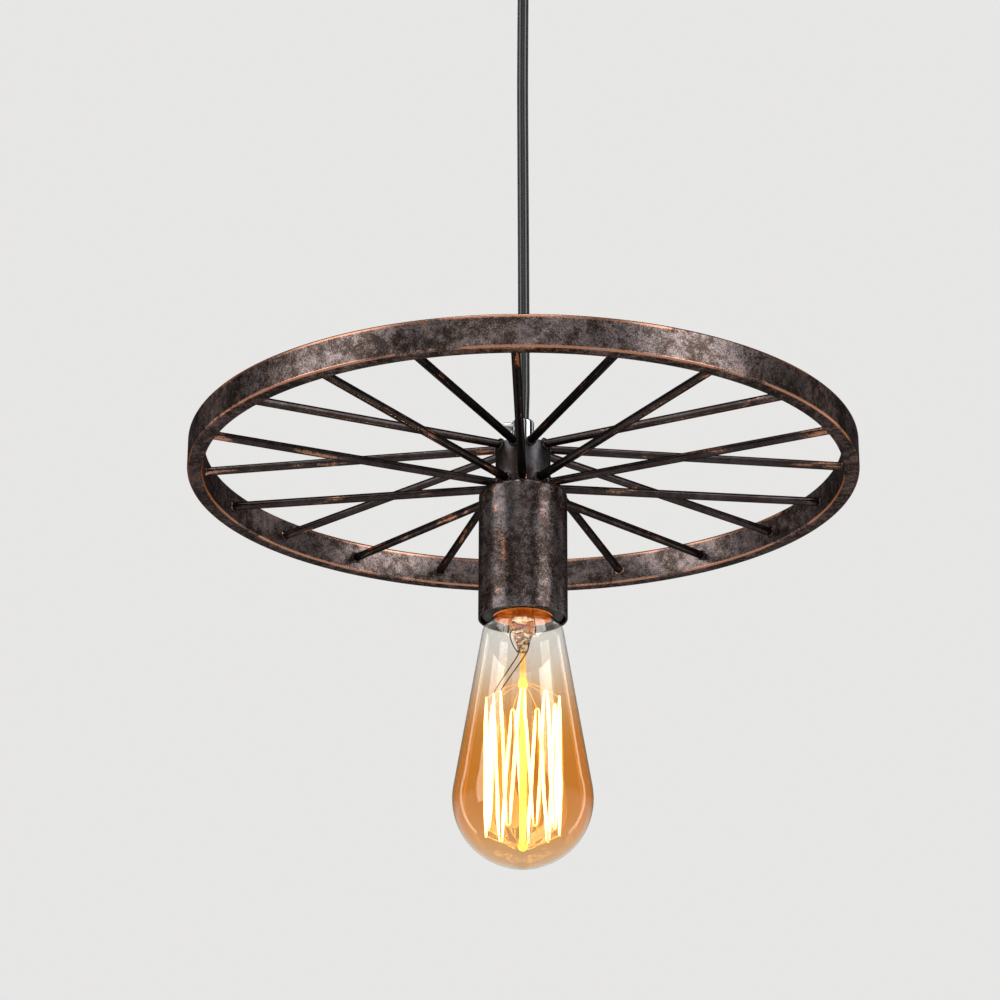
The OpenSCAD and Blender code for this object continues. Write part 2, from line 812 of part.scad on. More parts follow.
// The filament's zigzag: up over each top hook and down round each bottom hook
function filament_route() = [
    for (k = [0:cage_hooks - 1]) each
        let (a = cage_start + (k + 0.25) * cage_step, b = a + cage_step / 2, w = cage_step / 14)
            [cage_place(a - w, cage_top - hook_drop), cage_place(a, cage_top),
             cage_place(a + w, cage_top - hook_drop), cage_place(b - w, cage_foot + hook_drop),
             cage_place(b, cage_foot), cage_place(b + w, cage_foot + hook_drop)]
];

module bulb_filament() {
    route = filament_route();
    color("gold") sweep([for (i = [0:len(route) - 3]) route[i]], filament_r, 6);
}

// Two wires from the press to the filament's ends, and their inner ends in the stem
module bulb_lead_wires() {
    route = filament_route();
    from_z = press_end + lead_rise;
    color("silver") for (way = [0, 1]) {
        filament_end = way == 0 ? route[0] : route[len(route) - 3];
        away = unit([filament_end.x, filament_end.y, 0]);
        end = filament_end - (filament_r + lead_r + lead_gap) * away;
        start = [-lead_side, way == 0 ? lead_apart : -lead_apart, from_z];
        sweep(curve(start, [0, 0, -4], [0, 0, 6], end, 10), lead_r, 6);
        translate([way == 0 ? 1.5 : -1.5, 0, 0]) bar_z(lead_r, press_z + 1.2, cap_top - 6);
    }
}

ceiling_bracket();
canopy();
canopy_screws();
terminal_block();
terminal_screws();
block_screw();
live_wire();
neutral_wire();
cord_tail();
canopy_gland();
canopy_gland_nut();
canopy_gland_screw();
cord_bend();
cord();
lamp_gland();
lamp_gland_screw();
hub();
rim();
threaded_tube();
cup();
toothed_washer();
hub_nut();
socket_cap();
socket_insert();
socket_terminals();
socket_terminal_screws();
socket_contact();
socket_shell();
socket_skirt();
lamp_live_wire();
lamp_neutral_wire();
bulb_contact();
bulb_cap();
bulb_insulator();
bulb_glass();
bulb_stem();
bulb_supports();
bulb_filament();
bulb_lead_wires();
for (k = [1:spoke_count]) spoke(k);
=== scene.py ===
# Pendant lamp with a spoked iron wheel: camera, light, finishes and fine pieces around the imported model.
import math

import bmesh
import bpy
from mathutils import Matrix, Vector


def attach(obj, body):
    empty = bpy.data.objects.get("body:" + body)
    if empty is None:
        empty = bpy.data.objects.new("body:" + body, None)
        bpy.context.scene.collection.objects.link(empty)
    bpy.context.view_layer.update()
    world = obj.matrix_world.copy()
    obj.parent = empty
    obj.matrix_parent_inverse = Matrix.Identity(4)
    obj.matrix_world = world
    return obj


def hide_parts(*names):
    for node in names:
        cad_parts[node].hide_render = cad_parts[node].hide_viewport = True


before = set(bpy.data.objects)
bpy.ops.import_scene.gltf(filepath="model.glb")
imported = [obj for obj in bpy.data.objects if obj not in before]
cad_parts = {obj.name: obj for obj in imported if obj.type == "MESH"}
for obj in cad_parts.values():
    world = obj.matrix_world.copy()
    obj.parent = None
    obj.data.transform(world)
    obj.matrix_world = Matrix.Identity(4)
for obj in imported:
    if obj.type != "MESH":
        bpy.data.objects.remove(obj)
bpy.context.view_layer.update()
mm = 0.001
scene = bpy.context.scene
print("frame loaded:", len(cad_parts), "nodes")


def addObject(name, data):
    made = bpy.data.objects.new(name, data)
    scene.collection.objects.link(made)
    return made


# The camera is solved from the rim's two ellipses and looks up at the wheel from below.
shot = {
    "position": (0.02965, -1.2924, -0.8215),
    "right": (0.9995420, 0.0301098, 0.0030900),
    "up": (0.0078798, -0.3574313, 0.9339060),
    "forward": (-0.0292235, 0.9334538, 0.3575052),
    "lens": 106.11,
    "sensor": 36.0,
    "near": 0.01,
    "far": 60,
}
camera = addObject("camera", bpy.data.cameras.new("camera"))
right, up, forward = (Vector(shot[key]).normalized() for key in ("right", "up", "forward"))
turned = Matrix((right, up, -forward)).transposed().to_4x4()
camera.matrix_world = Matrix.Translation(Vector(shot["position"])) @ turned
camera.data.lens = shot["lens"]
camera.data.sensor_width = shot["sensor"]
camera.data.clip_start = shot["near"]
camera.data.clip_end = shot["far"]
scene.camera = camera
print("camera set")


class Wire:  # a socket that can stand in a sum
    def __init__(self, recipe, socket):
        self.recipe, self.socket = recipe, socket

    def join(self, operation, *values, clamp=False):
        names = ("Value", "Value_001")
        settings = {"operation": operation, "use_clamp": clamp}
        return self.recipe.node("ShaderNodeMath", settings, dict(zip(names, values)))

    def of(self, operation, *others):
        return self.join(operation, self, *others)

    def __add__(self, other):
        return self.of("ADD", other)

    def __radd__(self, other):
        return self.join("ADD", other, self)

    def __sub__(self, other):
        return self.of("SUBTRACT", other)

    def __rsub__(self, other):
        return self.join("SUBTRACT", other, self)

    def __mul__(self, other):
        return self.of("MULTIPLY", other)

    def __rmul__(self, other):
        return self.join("MULTIPLY", other, self)

    def __truediv__(self, other):
        return self.of("DIVIDE", other)

    def __rtruediv__(self, other):
        return self.join("DIVIDE", other, self)

    def __pow__(self, other):
        return self.of("POWER", other)

    def __abs__(self):
        return self.of("ABSOLUTE")

    def ease(self, low, high):  # a smooth step from 0 at low to 1 at high
        sockets = {"Value": self, "From Min": low, "From Max": high}
        return self.recipe.node("ShaderNodeMapRange", {"interpolation_type": "SMOOTHSTEP"}, sockets)


class Recipe:  # builds the nodes of one tree
    def __init__(self, tree):
        self.tree = tree

    def node(self, kind, settings=None, sockets=None, out=0):
        made = self.tree.nodes.new(kind)
        for key, value in (settings or {}).items():
            setattr(made, key, value)
        for key, value in (sockets or {}).items():
            self.feed(made, key, value)
        if out is None:
            return made
        return Wire(self, made.outputs[out] if isinstance(out, int) else self.find(made.outputs, out))

    def find(self, sockets, key):
        for match in ("identifier", "name"):
            for socket in sockets:
                if getattr(socket, match) == key and socket.enabled:
                    return socket
        raise KeyError(key)

    def feed(self, made, key, value):
        socket = self.find(made.inputs, key)
        if isinstance(value, Wire):
            self.tree.links.new(value.socket, socket)
        elif isinstance(value, tuple) and socket.type == "RGBA":
            socket.default_value = (*value, 1)
        else:
            socket.default_value = value

    def blend(self, share, first, second):
        sockets = {"Factor_Float": share, "A_Color": first, "B_Color": second}
        settings = {"data_type": "RGBA", "clamp_factor": True}
        return self.node("ShaderNodeMix", settings, sockets, "Result_Color")

    def grain(self, place, scale, detail=4.0, roughness=0.6, stretch=None):
        if stretch:
            place = self.node("ShaderNodeMapping", None, {"Vector": place, "Scale": stretch}, 0)
        sockets = {"Vector": place, "Scale": scale, "Detail": detail, "Roughness": roughness}
        return self.node("ShaderNodeTexNoise", None, sockets)

    def bump(self, height, strength, distance):
        sockets = {"Height": height, "Strength": strength, "Distance": distance}
        return self.node("ShaderNodeBump", None, sockets, "Normal")

    def split(self, place):
        return [self.node("ShaderNodeSeparateXYZ", None, {"Vector": place}, axis) for axis in "XYZ"]

    def point(self, x=0.0, y=0.0, z=0.0):
        return self.node("ShaderNodeCombineXYZ", None, {"X": x, "Y": y, "Z": z})

    def vector(self, operation, sockets, out="Vector"):
        return self.node("ShaderNodeVectorMath", {"operation": operation}, sockets, out)


def blankMaterial(name):
    material = bpy.data.materials.new(name)
    material.use_nodes = True
    material.node_tree.nodes.clear()
    return material, Recipe(material.node_tree)


def finish(name, build):  # build(recipe, place) gives the sockets of the surface shader
    material, recipe = blankMaterial(name)
    place = recipe.node("ShaderNodeTexCoord", None, None, "Object")
    shader = recipe.node("ShaderNodeBsdfPrincipled", None, build(recipe, place))
    recipe.node("ShaderNodeOutputMaterial", None, {"Surface": shader}, None)
    return material


# The iron's paint: tones from the darkest coat to the bare metal, and how the spots of each coat are mixed.
ironTones = {
    "night": (0.026, 0.0205, 0.0195),
    "umber": (0.100, 0.069, 0.057),
    "slate": (0.096, 0.114, 0.145),
    "ash": (0.310, 0.215, 0.172),
    "copper": (0.500, 0.235, 0.150),
    "edge": (0.10, 0.08, 0.07),  # keeps the paint dark where it turns away
}
ironCoats = {  # shares of speckle, cloud and drift, and the step over which the coat comes in
    "umber": {"shares": (0.5, 0.24, 0.26), "from": 0.40, "step": 0.20},
    "ash": {"shares": (0.5, 0.32, 0.18), "step": 0.15},
    "copper": {"shares": (0.6, 0.2, 0.2), "step": 0.12, "rubbed": 0.42},
}


def antiqueIron(name, look, worn):  # dark paint rubbed with copper, most where worn(recipe, place) says; on the spokes part of that copper is a painted highlight
    def build(recipe, place):
        drift = recipe.grain(place, look["driftScale"], 3, 0.6)
        cloud = recipe.grain(place, look["cloudScale"], 5, 0.7)
        fleck = recipe.grain(place, look["fleckScale"], 4, 0.8)
        dust = recipe.grain(place, look["dustScale"], 2, 0.6)
        speckle = fleck * 0.6 + dust * 0.4

        def coat(kind, start, more=0.0):
            first, second, third = ironCoats[kind]["shares"]
            spots = speckle * first + cloud * second + drift * third + more
            return spots.ease(start, start + ironCoats[kind]["step"])

        brown = coat("umber", ironCoats["umber"]["from"])
        cool = (cloud * 0.5 + drift * 0.5).ease(0.45, 0.56) * speckle.ease(0.34, 0.58)
        pale = coat("ash", look["ashFrom"])
        bare = coat("copper", look["copperFrom"], worn(recipe, place) * ironCoats["copper"]["rubbed"])
        paint = recipe.blend(brown, ironTones["night"], ironTones["umber"])
        paint = recipe.blend(cool * look["slate"], paint, ironTones["slate"])
        paint = recipe.blend(pale * look["ash"], paint, ironTones["ash"])
        # darkens the paint towards the night tone by the look's dim share; on the hub this is painted shade, as if
        # shaded by the spokes and rim
        paint = recipe.blend(look["dim"], paint, ironTones["night"])
        paint = recipe.blend(bare * look["copper"], paint, ironTones["copper"])
        return {
            "Base Color": paint,
            "Metallic": 0.88 + bare * 0.08,
            "Roughness": look["roughness"] + (fleck - 0.5) * 0.35 - bare * 0.05,
            "Specular IOR Level": 0.5,
            "Specular Tint": ironTones["edge"],
            "Normal": recipe.bump(speckle, 0.35, 0.00005),
        }
    return finish(name, build)


wheel = {  # in metres
    "middle": -0.310, "halfHeight": 0.00775, "outer": 0.1575, "inner": 0.150, "edge": 0.0012,
    "spokes": 20, "spokeWidth": 0.0040, "rimEntry": -0.3110, "hubEntryLow": -0.3194, "hubEntryHigh": -0.3013,
    "hubDepth": 0.004, "rimDepth": 0.0025, "weldWidth": 0.0027, "weldDepth": 0.0013, "weldLumps": 0.0007,
}
hubShape = {"radius": 13.0, "top": -300.0, "foot": -323.0, "bevel": 0.6, "bore": 3.9}
cupShape = {"radius": 20.75, "top": -323.0, "mouth": -386.0, "shoulder": 2.5, "wall": 1.2, "bore": 5.05}
rimWorn = {  # depths under the bar's height where each band of wear starts and ends
    "above": (0.0023, 0.0013), "below": (0.0014, 0.0006), "face": (0.00012, 0.00004),
    "aboveShare": 0.8, "least": 0.18, "most": 0.5, "stretchScale": 22,
}
spokeWearAndHighlightSizes = {
    "along": 38, "across": 380, "upwards": 240, "apart": 7.3, "streaks": 0.42,
    "nearRim": (0.120, 0.149), "rimShare": 0.13,
}
cupScuffs = (  # azimuth, height, size, how much shorter it is upwards, and share
    (-24, -358, 2.6, 0.20, 0.42), (-31, -352, 2.6, 0.35, 0.26), (-37, -337, 2.6, 0.7, 0.28),
    (-34, -377.5, 3.4, 1.3, 0.36), (-40, -327.5, 4.0, 1.6, 0.3), (28, -340, 3.0, 0.6, 0.26),
    (34, -372, 2.2, 0.5, 0.22),
)


def rimWear(recipe, place):  # the rim's rounded edges, worn to copper in stretches
    x, y, z = recipe.split(place)
    half = wheel["halfHeight"]
    up, down = z - wheel["middle"], wheel["middle"] - z
    above, below, face = (height.ease(*(half - depth for depth in rimWorn[band]))
                          for height, band in ((up, "above"), (down, "below"), (abs(up), "face")))
    stretch = recipe.grain(place, rimWorn["stretchScale"], 2, 0.5).ease(0.42, 0.52)
    edges = (above * rimWorn["aboveShare"] + below) * (1 - face)
    return edges * (rimWorn["least"] + stretch * rimWorn["most"])


def spokeWearAndHighlight(recipe, place):  # long streaks along each spoke, and a copper end at the rim that is partly rubbed wear and partly a painted highlight
    x, y, z = recipe.split(place)
    reach = (x * x + y * y) ** 0.5
    number = y.of("ARCTAN2", x) * (wheel["spokes"] / math.tau) + 0.5
    whole = number.of("FLOOR")
    across = (number - whole - 0.5) * reach * (math.tau / wheel["spokes"])
    along = recipe.point(reach * spokeWearAndHighlightSizes["along"] + whole * spokeWearAndHighlightSizes["apart"],
                         across * spokeWearAndHighlightSizes["across"], z * spokeWearAndHighlightSizes["upwards"])
    streaks = recipe.grain(along, 1.0, 2, 0.5).ease(0.52, 0.74) * spokeWearAndHighlightSizes["streaks"]
    # the rim end's share is partly a painted highlight along the spokes
    return streaks + reach.ease(*spokeWearAndHighlightSizes["nearRim"]) * spokeWearAndHighlightSizes["rimShare"]


def hubWear(recipe, place):
    x, y, z = recipe.split(place)
    top = z.ease((hubShape["top"] - 1.2) * mm, (hubShape["top"] - 0.2) * mm)
    return top * 0.35 + recipe.grain(place, 140, 3, 0.6) * 0.15


def cupWear(recipe, place):  # the shoulder and a few scuffs
    x, y, z = recipe.split(place)
    total = z.ease((cupShape["top"] - 3.0) * mm, (cupShape["top"] - 1.0) * mm) * 0.2
    for azimuth, height, size, squat, share in cupScuffs:
        turn = math.radians(azimuth)
        r = cupShape["radius"]
        spot = Vector((r * math.sin(turn), -r * math.cos(turn), height)) * mm
        off = recipe.vector("SUBTRACT", {"Vector": place, "Vector_001": spot})
        off = recipe.vector("MULTIPLY", {"Vector": off, "Vector_001": (1.0, 1.0, squat)})
        apart = recipe.vector("LENGTH", {"Vector": off}, "Value")
        total = total + (1 - apart.ease(0, size * mm)) * share
    return total


def canopyWear(recipe, place):
    x, y, z = recipe.split(place)
    return (1 - z.ease(-0.0245, -0.0215)) * 0.15 + recipe.grain(place, 50, 4, 0.6) * 0.1


ironLooks = {
    "rim": {"dim": 0.0, "roughness": 0.30, "driftScale": 45, "cloudScale": 230, "fleckScale": 1150,
            "dustScale": 2300, "slate": 0.85, "ash": 0.9, "ashFrom": 0.47, "copper": 0.8, "copperFrom": 0.565},
    "spoke": {"dim": 0.62, "roughness": 0.20, "driftScale": 60, "cloudScale": 260, "fleckScale": 900,
              "dustScale": 2000, "slate": 0.35, "ash": 0.35, "ashFrom": 0.52, "copper": 0.75, "copperFrom": 0.585},
    # the hub's dim is painted shade from the spokes and rim
    "hub": {"dim": 0.4, "roughness": 0.38, "driftScale": 90, "cloudScale": 230, "fleckScale": 1000,
            "dustScale": 2200, "slate": 0.85, "ash": 0.3, "ashFrom": 0.54, "copper": 0.5, "copperFrom": 0.60},
    "cup": {"dim": 0.0, "roughness": 0.29, "driftScale": 60, "cloudScale": 330, "fleckScale": 1150,
            "dustScale": 2300, "slate": 0.85, "ash": 0.6, "ashFrom": 0.47, "copper": 0.8, "copperFrom": 0.575},
    "canopy": {"dim": 0.1, "roughness": 0.34, "driftScale": 45, "cloudScale": 230, "fleckScale": 1100,
               "dustScale": 2200, "slate": 0.6, "ash": 0.4, "ashFrom": 0.53, "copper": 0.7, "copperFrom": 0.61},
}
ironWear = (rimWear, spokeWearAndHighlight, hubWear, cupWear, canopyWear)
rimIron, spokeIron, hubIron, cupIron, canopyIron = (
    antiqueIron(name + "Iron", look, worn) for (name, look), worn in zip(ironLooks.items(), ironWear))


def metalFinish(name, colour, roughness, scale=900, stretch=None, vary=0.12, grainDepth=0.00003):
    def build(recipe, place):
        grain = recipe.grain(place, scale, 3, 0.6, stretch)
        haze = recipe.grain(place, scale * 0.08, 3, 0.6)
        dull = tuple(c * 0.72 for c in colour)
        return {
            "Base Color": recipe.blend(haze.ease(0.4, 0.7) * 0.5 + grain * 0.2, colour, dull),
            "Metallic": 1.0,
            "Roughness": roughness + (grain - 0.5) * vary + (haze - 0.5) * vary,
            "Normal": recipe.bump(grain, 0.25, grainDepth),
        }
    return finish(name, build)


brightChrome = metalFinish("brightChrome", (0.55, 0.56, 0.57), 0.10, 1200, None, 0.05, 0.00001)
zincSteel = metalFinish("zincSteel", (0.62, 0.63, 0.64), 0.34, 700)
bracketSteel = metalFinish("bracketSteel", (0.56, 0.57, 0.58), 0.38, 500, (1, 12, 12))
holderBrass = metalFinish("holderBrass", (0.76, 0.56, 0.27), 0.26, 800)
capNickel = metalFinish("capNickel", (0.74, 0.72, 0.68), 0.22, 900)
solderTin = metalFinish("solderTin", (0.58, 0.58, 0.57), 0.36, 500, None, 0.2, 0.0002)


def plasticFinish(name, colour, roughness, scale=900, worn=0.25, coat=0.0, gloss=0.5):
    def build(recipe, place):
        grain = recipe.grain(place, scale, 3, 0.6)
        haze = recipe.grain(place, scale * 0.06, 4, 0.6)
        lighter = tuple(c + (0.16 - c) * 0.12 + c * 0.25 for c in colour)
        return {
            "Base Color": recipe.blend(haze.ease(0.35, 0.75) * worn + grain * 0.1, colour, lighter),
            "Roughness": roughness + (grain - 0.5) * 0.14 + (haze - 0.5) * 0.1,
            "Coat Weight": coat,
            "Specular IOR Level": gloss,
            "Normal": recipe.bump(grain, 0.2, 0.00003),
        }
    return finish(name, build)


cordPvc = plasticFinish("cordPvc", (0.006, 0.006, 0.007), 0.22, 700, 0.2)
holderBlack = plasticFinish("holderBlack", (0.009, 0.009, 0.010), 0.42, 900, 0.2, 0.0, 0.12)
blockNylon = plasticFinish("blockNylon", (0.78, 0.78, 0.74), 0.42, 600, 0.3)
liveSleeve = plasticFinish("liveSleeve", (0.16, 0.055, 0.022), 0.4, 900)
neutralSleeve = plasticFinish("neutralSleeve", (0.03, 0.12, 0.36), 0.4, 900)
holderCeramic = plasticFinish("holderCeramic", (0.76, 0.74, 0.69), 0.35, 500, 0.3, 0.3)
capGlass = plasticFinish("capGlass", (0.010, 0.010, 0.014), 0.12, 500, 0.1, 0.5)

capThread = 3.629  # pitch of the bulb's thread


def litBrass(recipe, place):  # the cap's inner side with its rolled thread, and a painted glow: the emission stands in for the filament's orange light, in rings along the thread
    x, y, z = recipe.split(place)
    glow = 1 - z.ease(-0.3835, -0.3665)
    tone = recipe.grain(place, 260, 4, 0.6)
    wave = (z * (math.tau / (capThread * mm)) - y.of("ARCTAN2", x)).of("SINE")
    lit = glow * (0.42 + tone * 0.25 + wave * 0.42)
    return {
        "Base Color": recipe.blend(tone, (0.62, 0.24, 0.07), (0.80, 0.38, 0.14)),
        "Metallic": 0.7,
        "Roughness": 0.30 + tone * 0.15,
        # painted glow: the orange emission stands in for the filament's light, brighter towards the mouth
        "Emission Color": recipe.blend(lit, (0.12, 0.022, 0.003), (0.90, 0.23, 0.035)),
        "Emission Strength": 0.8,
    }


def amberGlassLook(recipe, place):  # clear at the neck, amber below the cage's top, deeper at its outline
    x, y, z = recipe.split(place)
    cloud = recipe.grain(place, 55, 4, 0.6)
    depth = (z * -1 + (cloud - 0.5) * 0.014).ease(0.392, 0.450)
    foot = (z * -1).ease(0.474, 0.503)
    edge = recipe.node("ShaderNodeLayerWeight", None, {"Blend": 0.35}, "Facing").ease(0.25, 1.0)
    amber = recipe.blend(edge, (0.86, 0.50, 0.17), (0.70, 0.29, 0.06))
    clear = recipe.blend(edge, (0.95, 0.94, 0.91), (0.66, 0.62, 0.56))
    tint = recipe.blend(depth, clear, amber)
    tint = recipe.blend(foot * 0.6, tint, (0.92, 0.80, 0.60))
    return {"Base Color": tint, "Transmission Weight": 1.0, "Roughness": 0.0, "IOR": 1.5}


def clearGlassLook(recipe, place):  # the stem's base colour is tinted warm as painted light, standing in for the filament's warm light round it
    tone = recipe.grain(place, 420, 2, 0.5)
    return {
        # painted light: the warm tint stands in for the filament's light on the stem
        "Base Color": recipe.blend(tone.ease(0.4, 0.6), (0.98, 0.88, 0.72), (0.95, 0.70, 0.45)),
        "Transmission Weight": 1.0, "Roughness": 0.02, "IOR": 1.52,
        "Normal": recipe.bump(tone, 0.5, 0.0012),
    }


def rodGlassLook(recipe, place):  # the rod's emission is a painted glow that stands in for the cage's light, where the rod runs through the cage
    x, y, z = recipe.split(place)
    lit = (z * -1).ease(0.408, 0.424)
    return {
        "Base Color": (0.96, 0.88, 0.42),
        "Transmission Weight": 0.55,
        "Roughness": 0.08,
        # painted glow, on inside the cage and off above it
        "Emission Color": recipe.blend(lit, (0.20, 0.07, 0.01), (0.96, 0.86, 0.12)),
        "Emission Strength": 0.9,
    }


def filamentLook(recipe, place):  # whitest at the middle of the strands
    x, y, z = recipe.split(place)
    middle = 1 - abs(z + 0.456).ease(0.024, 0.033)
    flicker = recipe.grain(place, 160, 2, 0.5)
    return {
        "Base Color": (0.9, 0.8, 0.5),
        "Roughness": 0.6,
        "Emission Color": recipe.blend(middle * 0.8 + flicker * 0.2, (1.0, 0.55, 0.14), (1.0, 0.88, 0.60)),
        "Emission Strength": 9.0,
    }


def supportLook(recipe, place):  # star wires, with a painted glow in their emission that grows near the cage
    x, y, z = recipe.split(place)
    reach = (x * x + y * y) ** 0.5
    return {
        "Base Color": (0.42, 0.30, 0.20),
        "Metallic": 0.8,
        "Roughness": 0.35,
        # painted glow, brighter near the cage
        "Emission Color": recipe.blend(reach.ease(0.002, 0.015), (0.75, 0.35, 0.07), (1.0, 0.72, 0.28)),
        "Emission Strength": 0.9,
    }


def leadLook(recipe, place):  # dark below the press, bright copper above it
    x, y, z = recipe.split(place)
    dark = recipe.blend(recipe.grain(place, 300, 3, 0.6), (0.07, 0.03, 0.015), (0.16, 0.07, 0.03))
    paint = recipe.blend(z.ease(-0.3905, -0.3890), dark, (0.85, 0.42, 0.18))
    return {"Base Color": paint, "Metallic": 0.7, "Roughness": 0.4}


capPaintedGlow = finish("capPaintedGlow", litBrass)
amberGlass = finish("amberGlass", amberGlassLook)
stemGlass = finish("stemGlass", clearGlassLook)
rodGlass = finish("rodGlass", rodGlassLook)
filamentGlow = finish("filamentGlow", filamentLook)
supportWire = finish("supportWire", supportLook)
leadWire = finish("leadWire", leadLook)
print("finishes made")


# Mesh helpers take millimetres and give objects in metres.
def settle(name, work, materials, sharpAngle=38):  # turns a bmesh into a linked object with outward faces
    bmesh.ops.remove_doubles(work, verts=work.verts, dist=1e-7)
    bmesh.ops.recalc_face_normals(work, faces=work.faces)
    mesh = bpy.data.meshes.new(name)
    work.to_mesh(mesh)
    work.free()
    for material in materials:
        mesh.materials.append(material)
    mesh.shade_smooth()
    mesh.set_sharp_from_angle(angle=math.radians(sharpAngle))
    return addObject(name, mesh)


def lathe(name, outline, materials, segments=96, closed=False, shape=None, paintOf=None, sharpAngle=38):
    work = bmesh.new()
    rings = []
    for index, (radius, height) in enumerate(outline):
        if radius < 1e-6:
            rings.append([work.verts.new((0, 0, height * mm))])
            continue
        ring = []
        for step in range(segments):
            turn = math.tau * step / segments
            r, z = shape(index, radius, height, turn) if shape else (radius, height)
            ring.append(work.verts.new((r * math.cos(turn) * mm, r * math.sin(turn) * mm, z * mm)))
        rings.append(ring)
    pairs = list(zip(rings, rings[1:])) + ([(rings[-1], rings[0])] if closed else [])
    for number, (low, high) in enumerate(pairs):
        if len(low) == len(high) == 1:  # both ends of a shell on the axis
            continue
        for step in range(segments):
            after = (step + 1) % segments
            if len(low) == 1:
                corners = (low[0], high[after], high[step])
            elif len(high) == 1:
                corners = (low[step], low[after], high[0])
            else:
                corners = (low[step], low[after], high[after], high[step])
            face = work.faces.new(corners)
            face.material_index = paintOf(number) if paintOf else 0
    return settle(name, work, materials, sharpAngle)


def arc(x, y, radius, start, end, steps):
    turns = [math.radians(start + (end - start) * i / steps) for i in range(steps + 1)]
    return [(x + radius * math.cos(a), y + radius * math.sin(a)) for a in turns]


roundEnd = [(-0.92, 0.38), (-0.7, 0.71), (-0.35, 0.94)]  # how far out and how wide the rings of a tube's end are


def tube(name, path, radius, sides, materials, roundEnds=True):  # a closed round tube along points
    work = bmesh.new()
    points = [Vector(p) for p in path]
    last = len(points) - 1
    heads = [(points[min(i + 1, last)] - points[max(i - 1, 0)]).normalized() for i in range(last + 1)]
    caps = roundEnd if roundEnds else []
    stations = [(points[0] + heads[0] * radius * back, heads[0], radius * share) for back, share in caps]
    stations += [(p, h, radius) for p, h in zip(points, heads)]
    stations += [(points[-1] - heads[-1] * radius * back, heads[-1], radius * share)
                 for back, share in reversed(caps)]
    side = heads[0].orthogonal().normalized()
    turns = [math.tau * k / sides for k in range(sides)]
    rings = []
    for spot, head, r in stations:
        side = (side - head * side.dot(head)).normalized()
        other = head.cross(side)
        ring = [spot + (side * math.cos(a) + other * math.sin(a)) * r for a in turns]
        rings.append([work.verts.new(corner * mm) for corner in ring])
    for low, high in zip(rings, rings[1:]):
        for k in range(sides):
            work.faces.new((low[k], low[(k + 1) % sides], high[(k + 1) % sides], high[k]))
    work.faces.new(rings[0])
    work.faces.new(rings[-1])
    return settle(name, work, materials, 60)


def bezier(start, leave, arrive, end, steps):
    start, leave, arrive, end = (Vector(v) for v in (start, leave, arrive, end))
    found = []
    for i in range(steps + 1):
        t = i / steps
        s = 1 - t
        bent = 3 * s * s * t * (start + leave) + 3 * s * t * t * (end + arrive)
        found.append(s ** 3 * start + bent + t ** 3 * end)
    return found


def place(piece, body, slot, *nodes):  # rides on a body and stands for nodes
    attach(piece, body)
    if nodes:
        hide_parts(*nodes)
    return piece


# The cord has a fixed length from the bend in the upper grip down into the lower grip.
cordFacts = {
    "leaves": -36.0, "start": -1.6, "ends": -294.5, "gripTop": -286.5, "diameter": 5.5, "points": 36, "sides": 24,
    "sway": 0.45, "sideSway": 0.25, "straight": 16, "swayIn": 60, "swayOut": 14,
    "tailFoot": -33.6, "tailHeight": 18.6, "tailSteps": 6,
}


def cordLine(facts):  # almost straight, with a slight sway that fades at both grips
    low, high = facts["ends"], facts["leaves"] + facts["start"]
    found = []
    for i in range(facts["points"]):
        t = i / (facts["points"] - 1)
        height = high + (low - high) * t
        fadeIn = min(1, max(0, (facts["leaves"] - facts["straight"] - height) / facts["swayIn"]))
        share = fadeIn * min(1, max(0, (height - facts["gripTop"]) / facts["swayOut"]))
        x, y = -facts["sway"] * share * math.cos(math.pi * t), facts["sideSway"] * share * math.sin(5 * t)
        found.append((x, y, height))
    return found


cordPath, cordRadius = cordLine(cordFacts), cordFacts["diameter"] / 2
cord = tube("cord", cordPath, cordRadius, cordFacts["sides"], [cordPvc], False)
place(cord, "cord", "cord_pvc", "cord")
bendBall = lathe("cordBend", arc(0, cordFacts["leaves"], cordRadius, -90, 90, 16), [cordPvc], 32)
place(bendBall, "cord_bend", "cord_pvc", "cord_bend")
metrePath = [tuple(v * mm for v in point) for point in cordPath]
cordLength = sum((Vector(a) - Vector(b)).length for a, b in zip(metrePath, metrePath[1:]))
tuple(metrePath[0])
tailSteps = cordFacts["tailSteps"]
tailPath = [(0, 0, cordFacts["tailFoot"] + k * cordFacts["tailHeight"] / tailSteps) for k in range(tailSteps + 1)]
cordTail = tube("cordTail", tailPath, cordRadius, cordFacts["sides"], [cordPvc], False)
place(cordTail, "canopy", "cord_pvc", "cord_tail")
print("cord made, length", round(cordLength, 4))


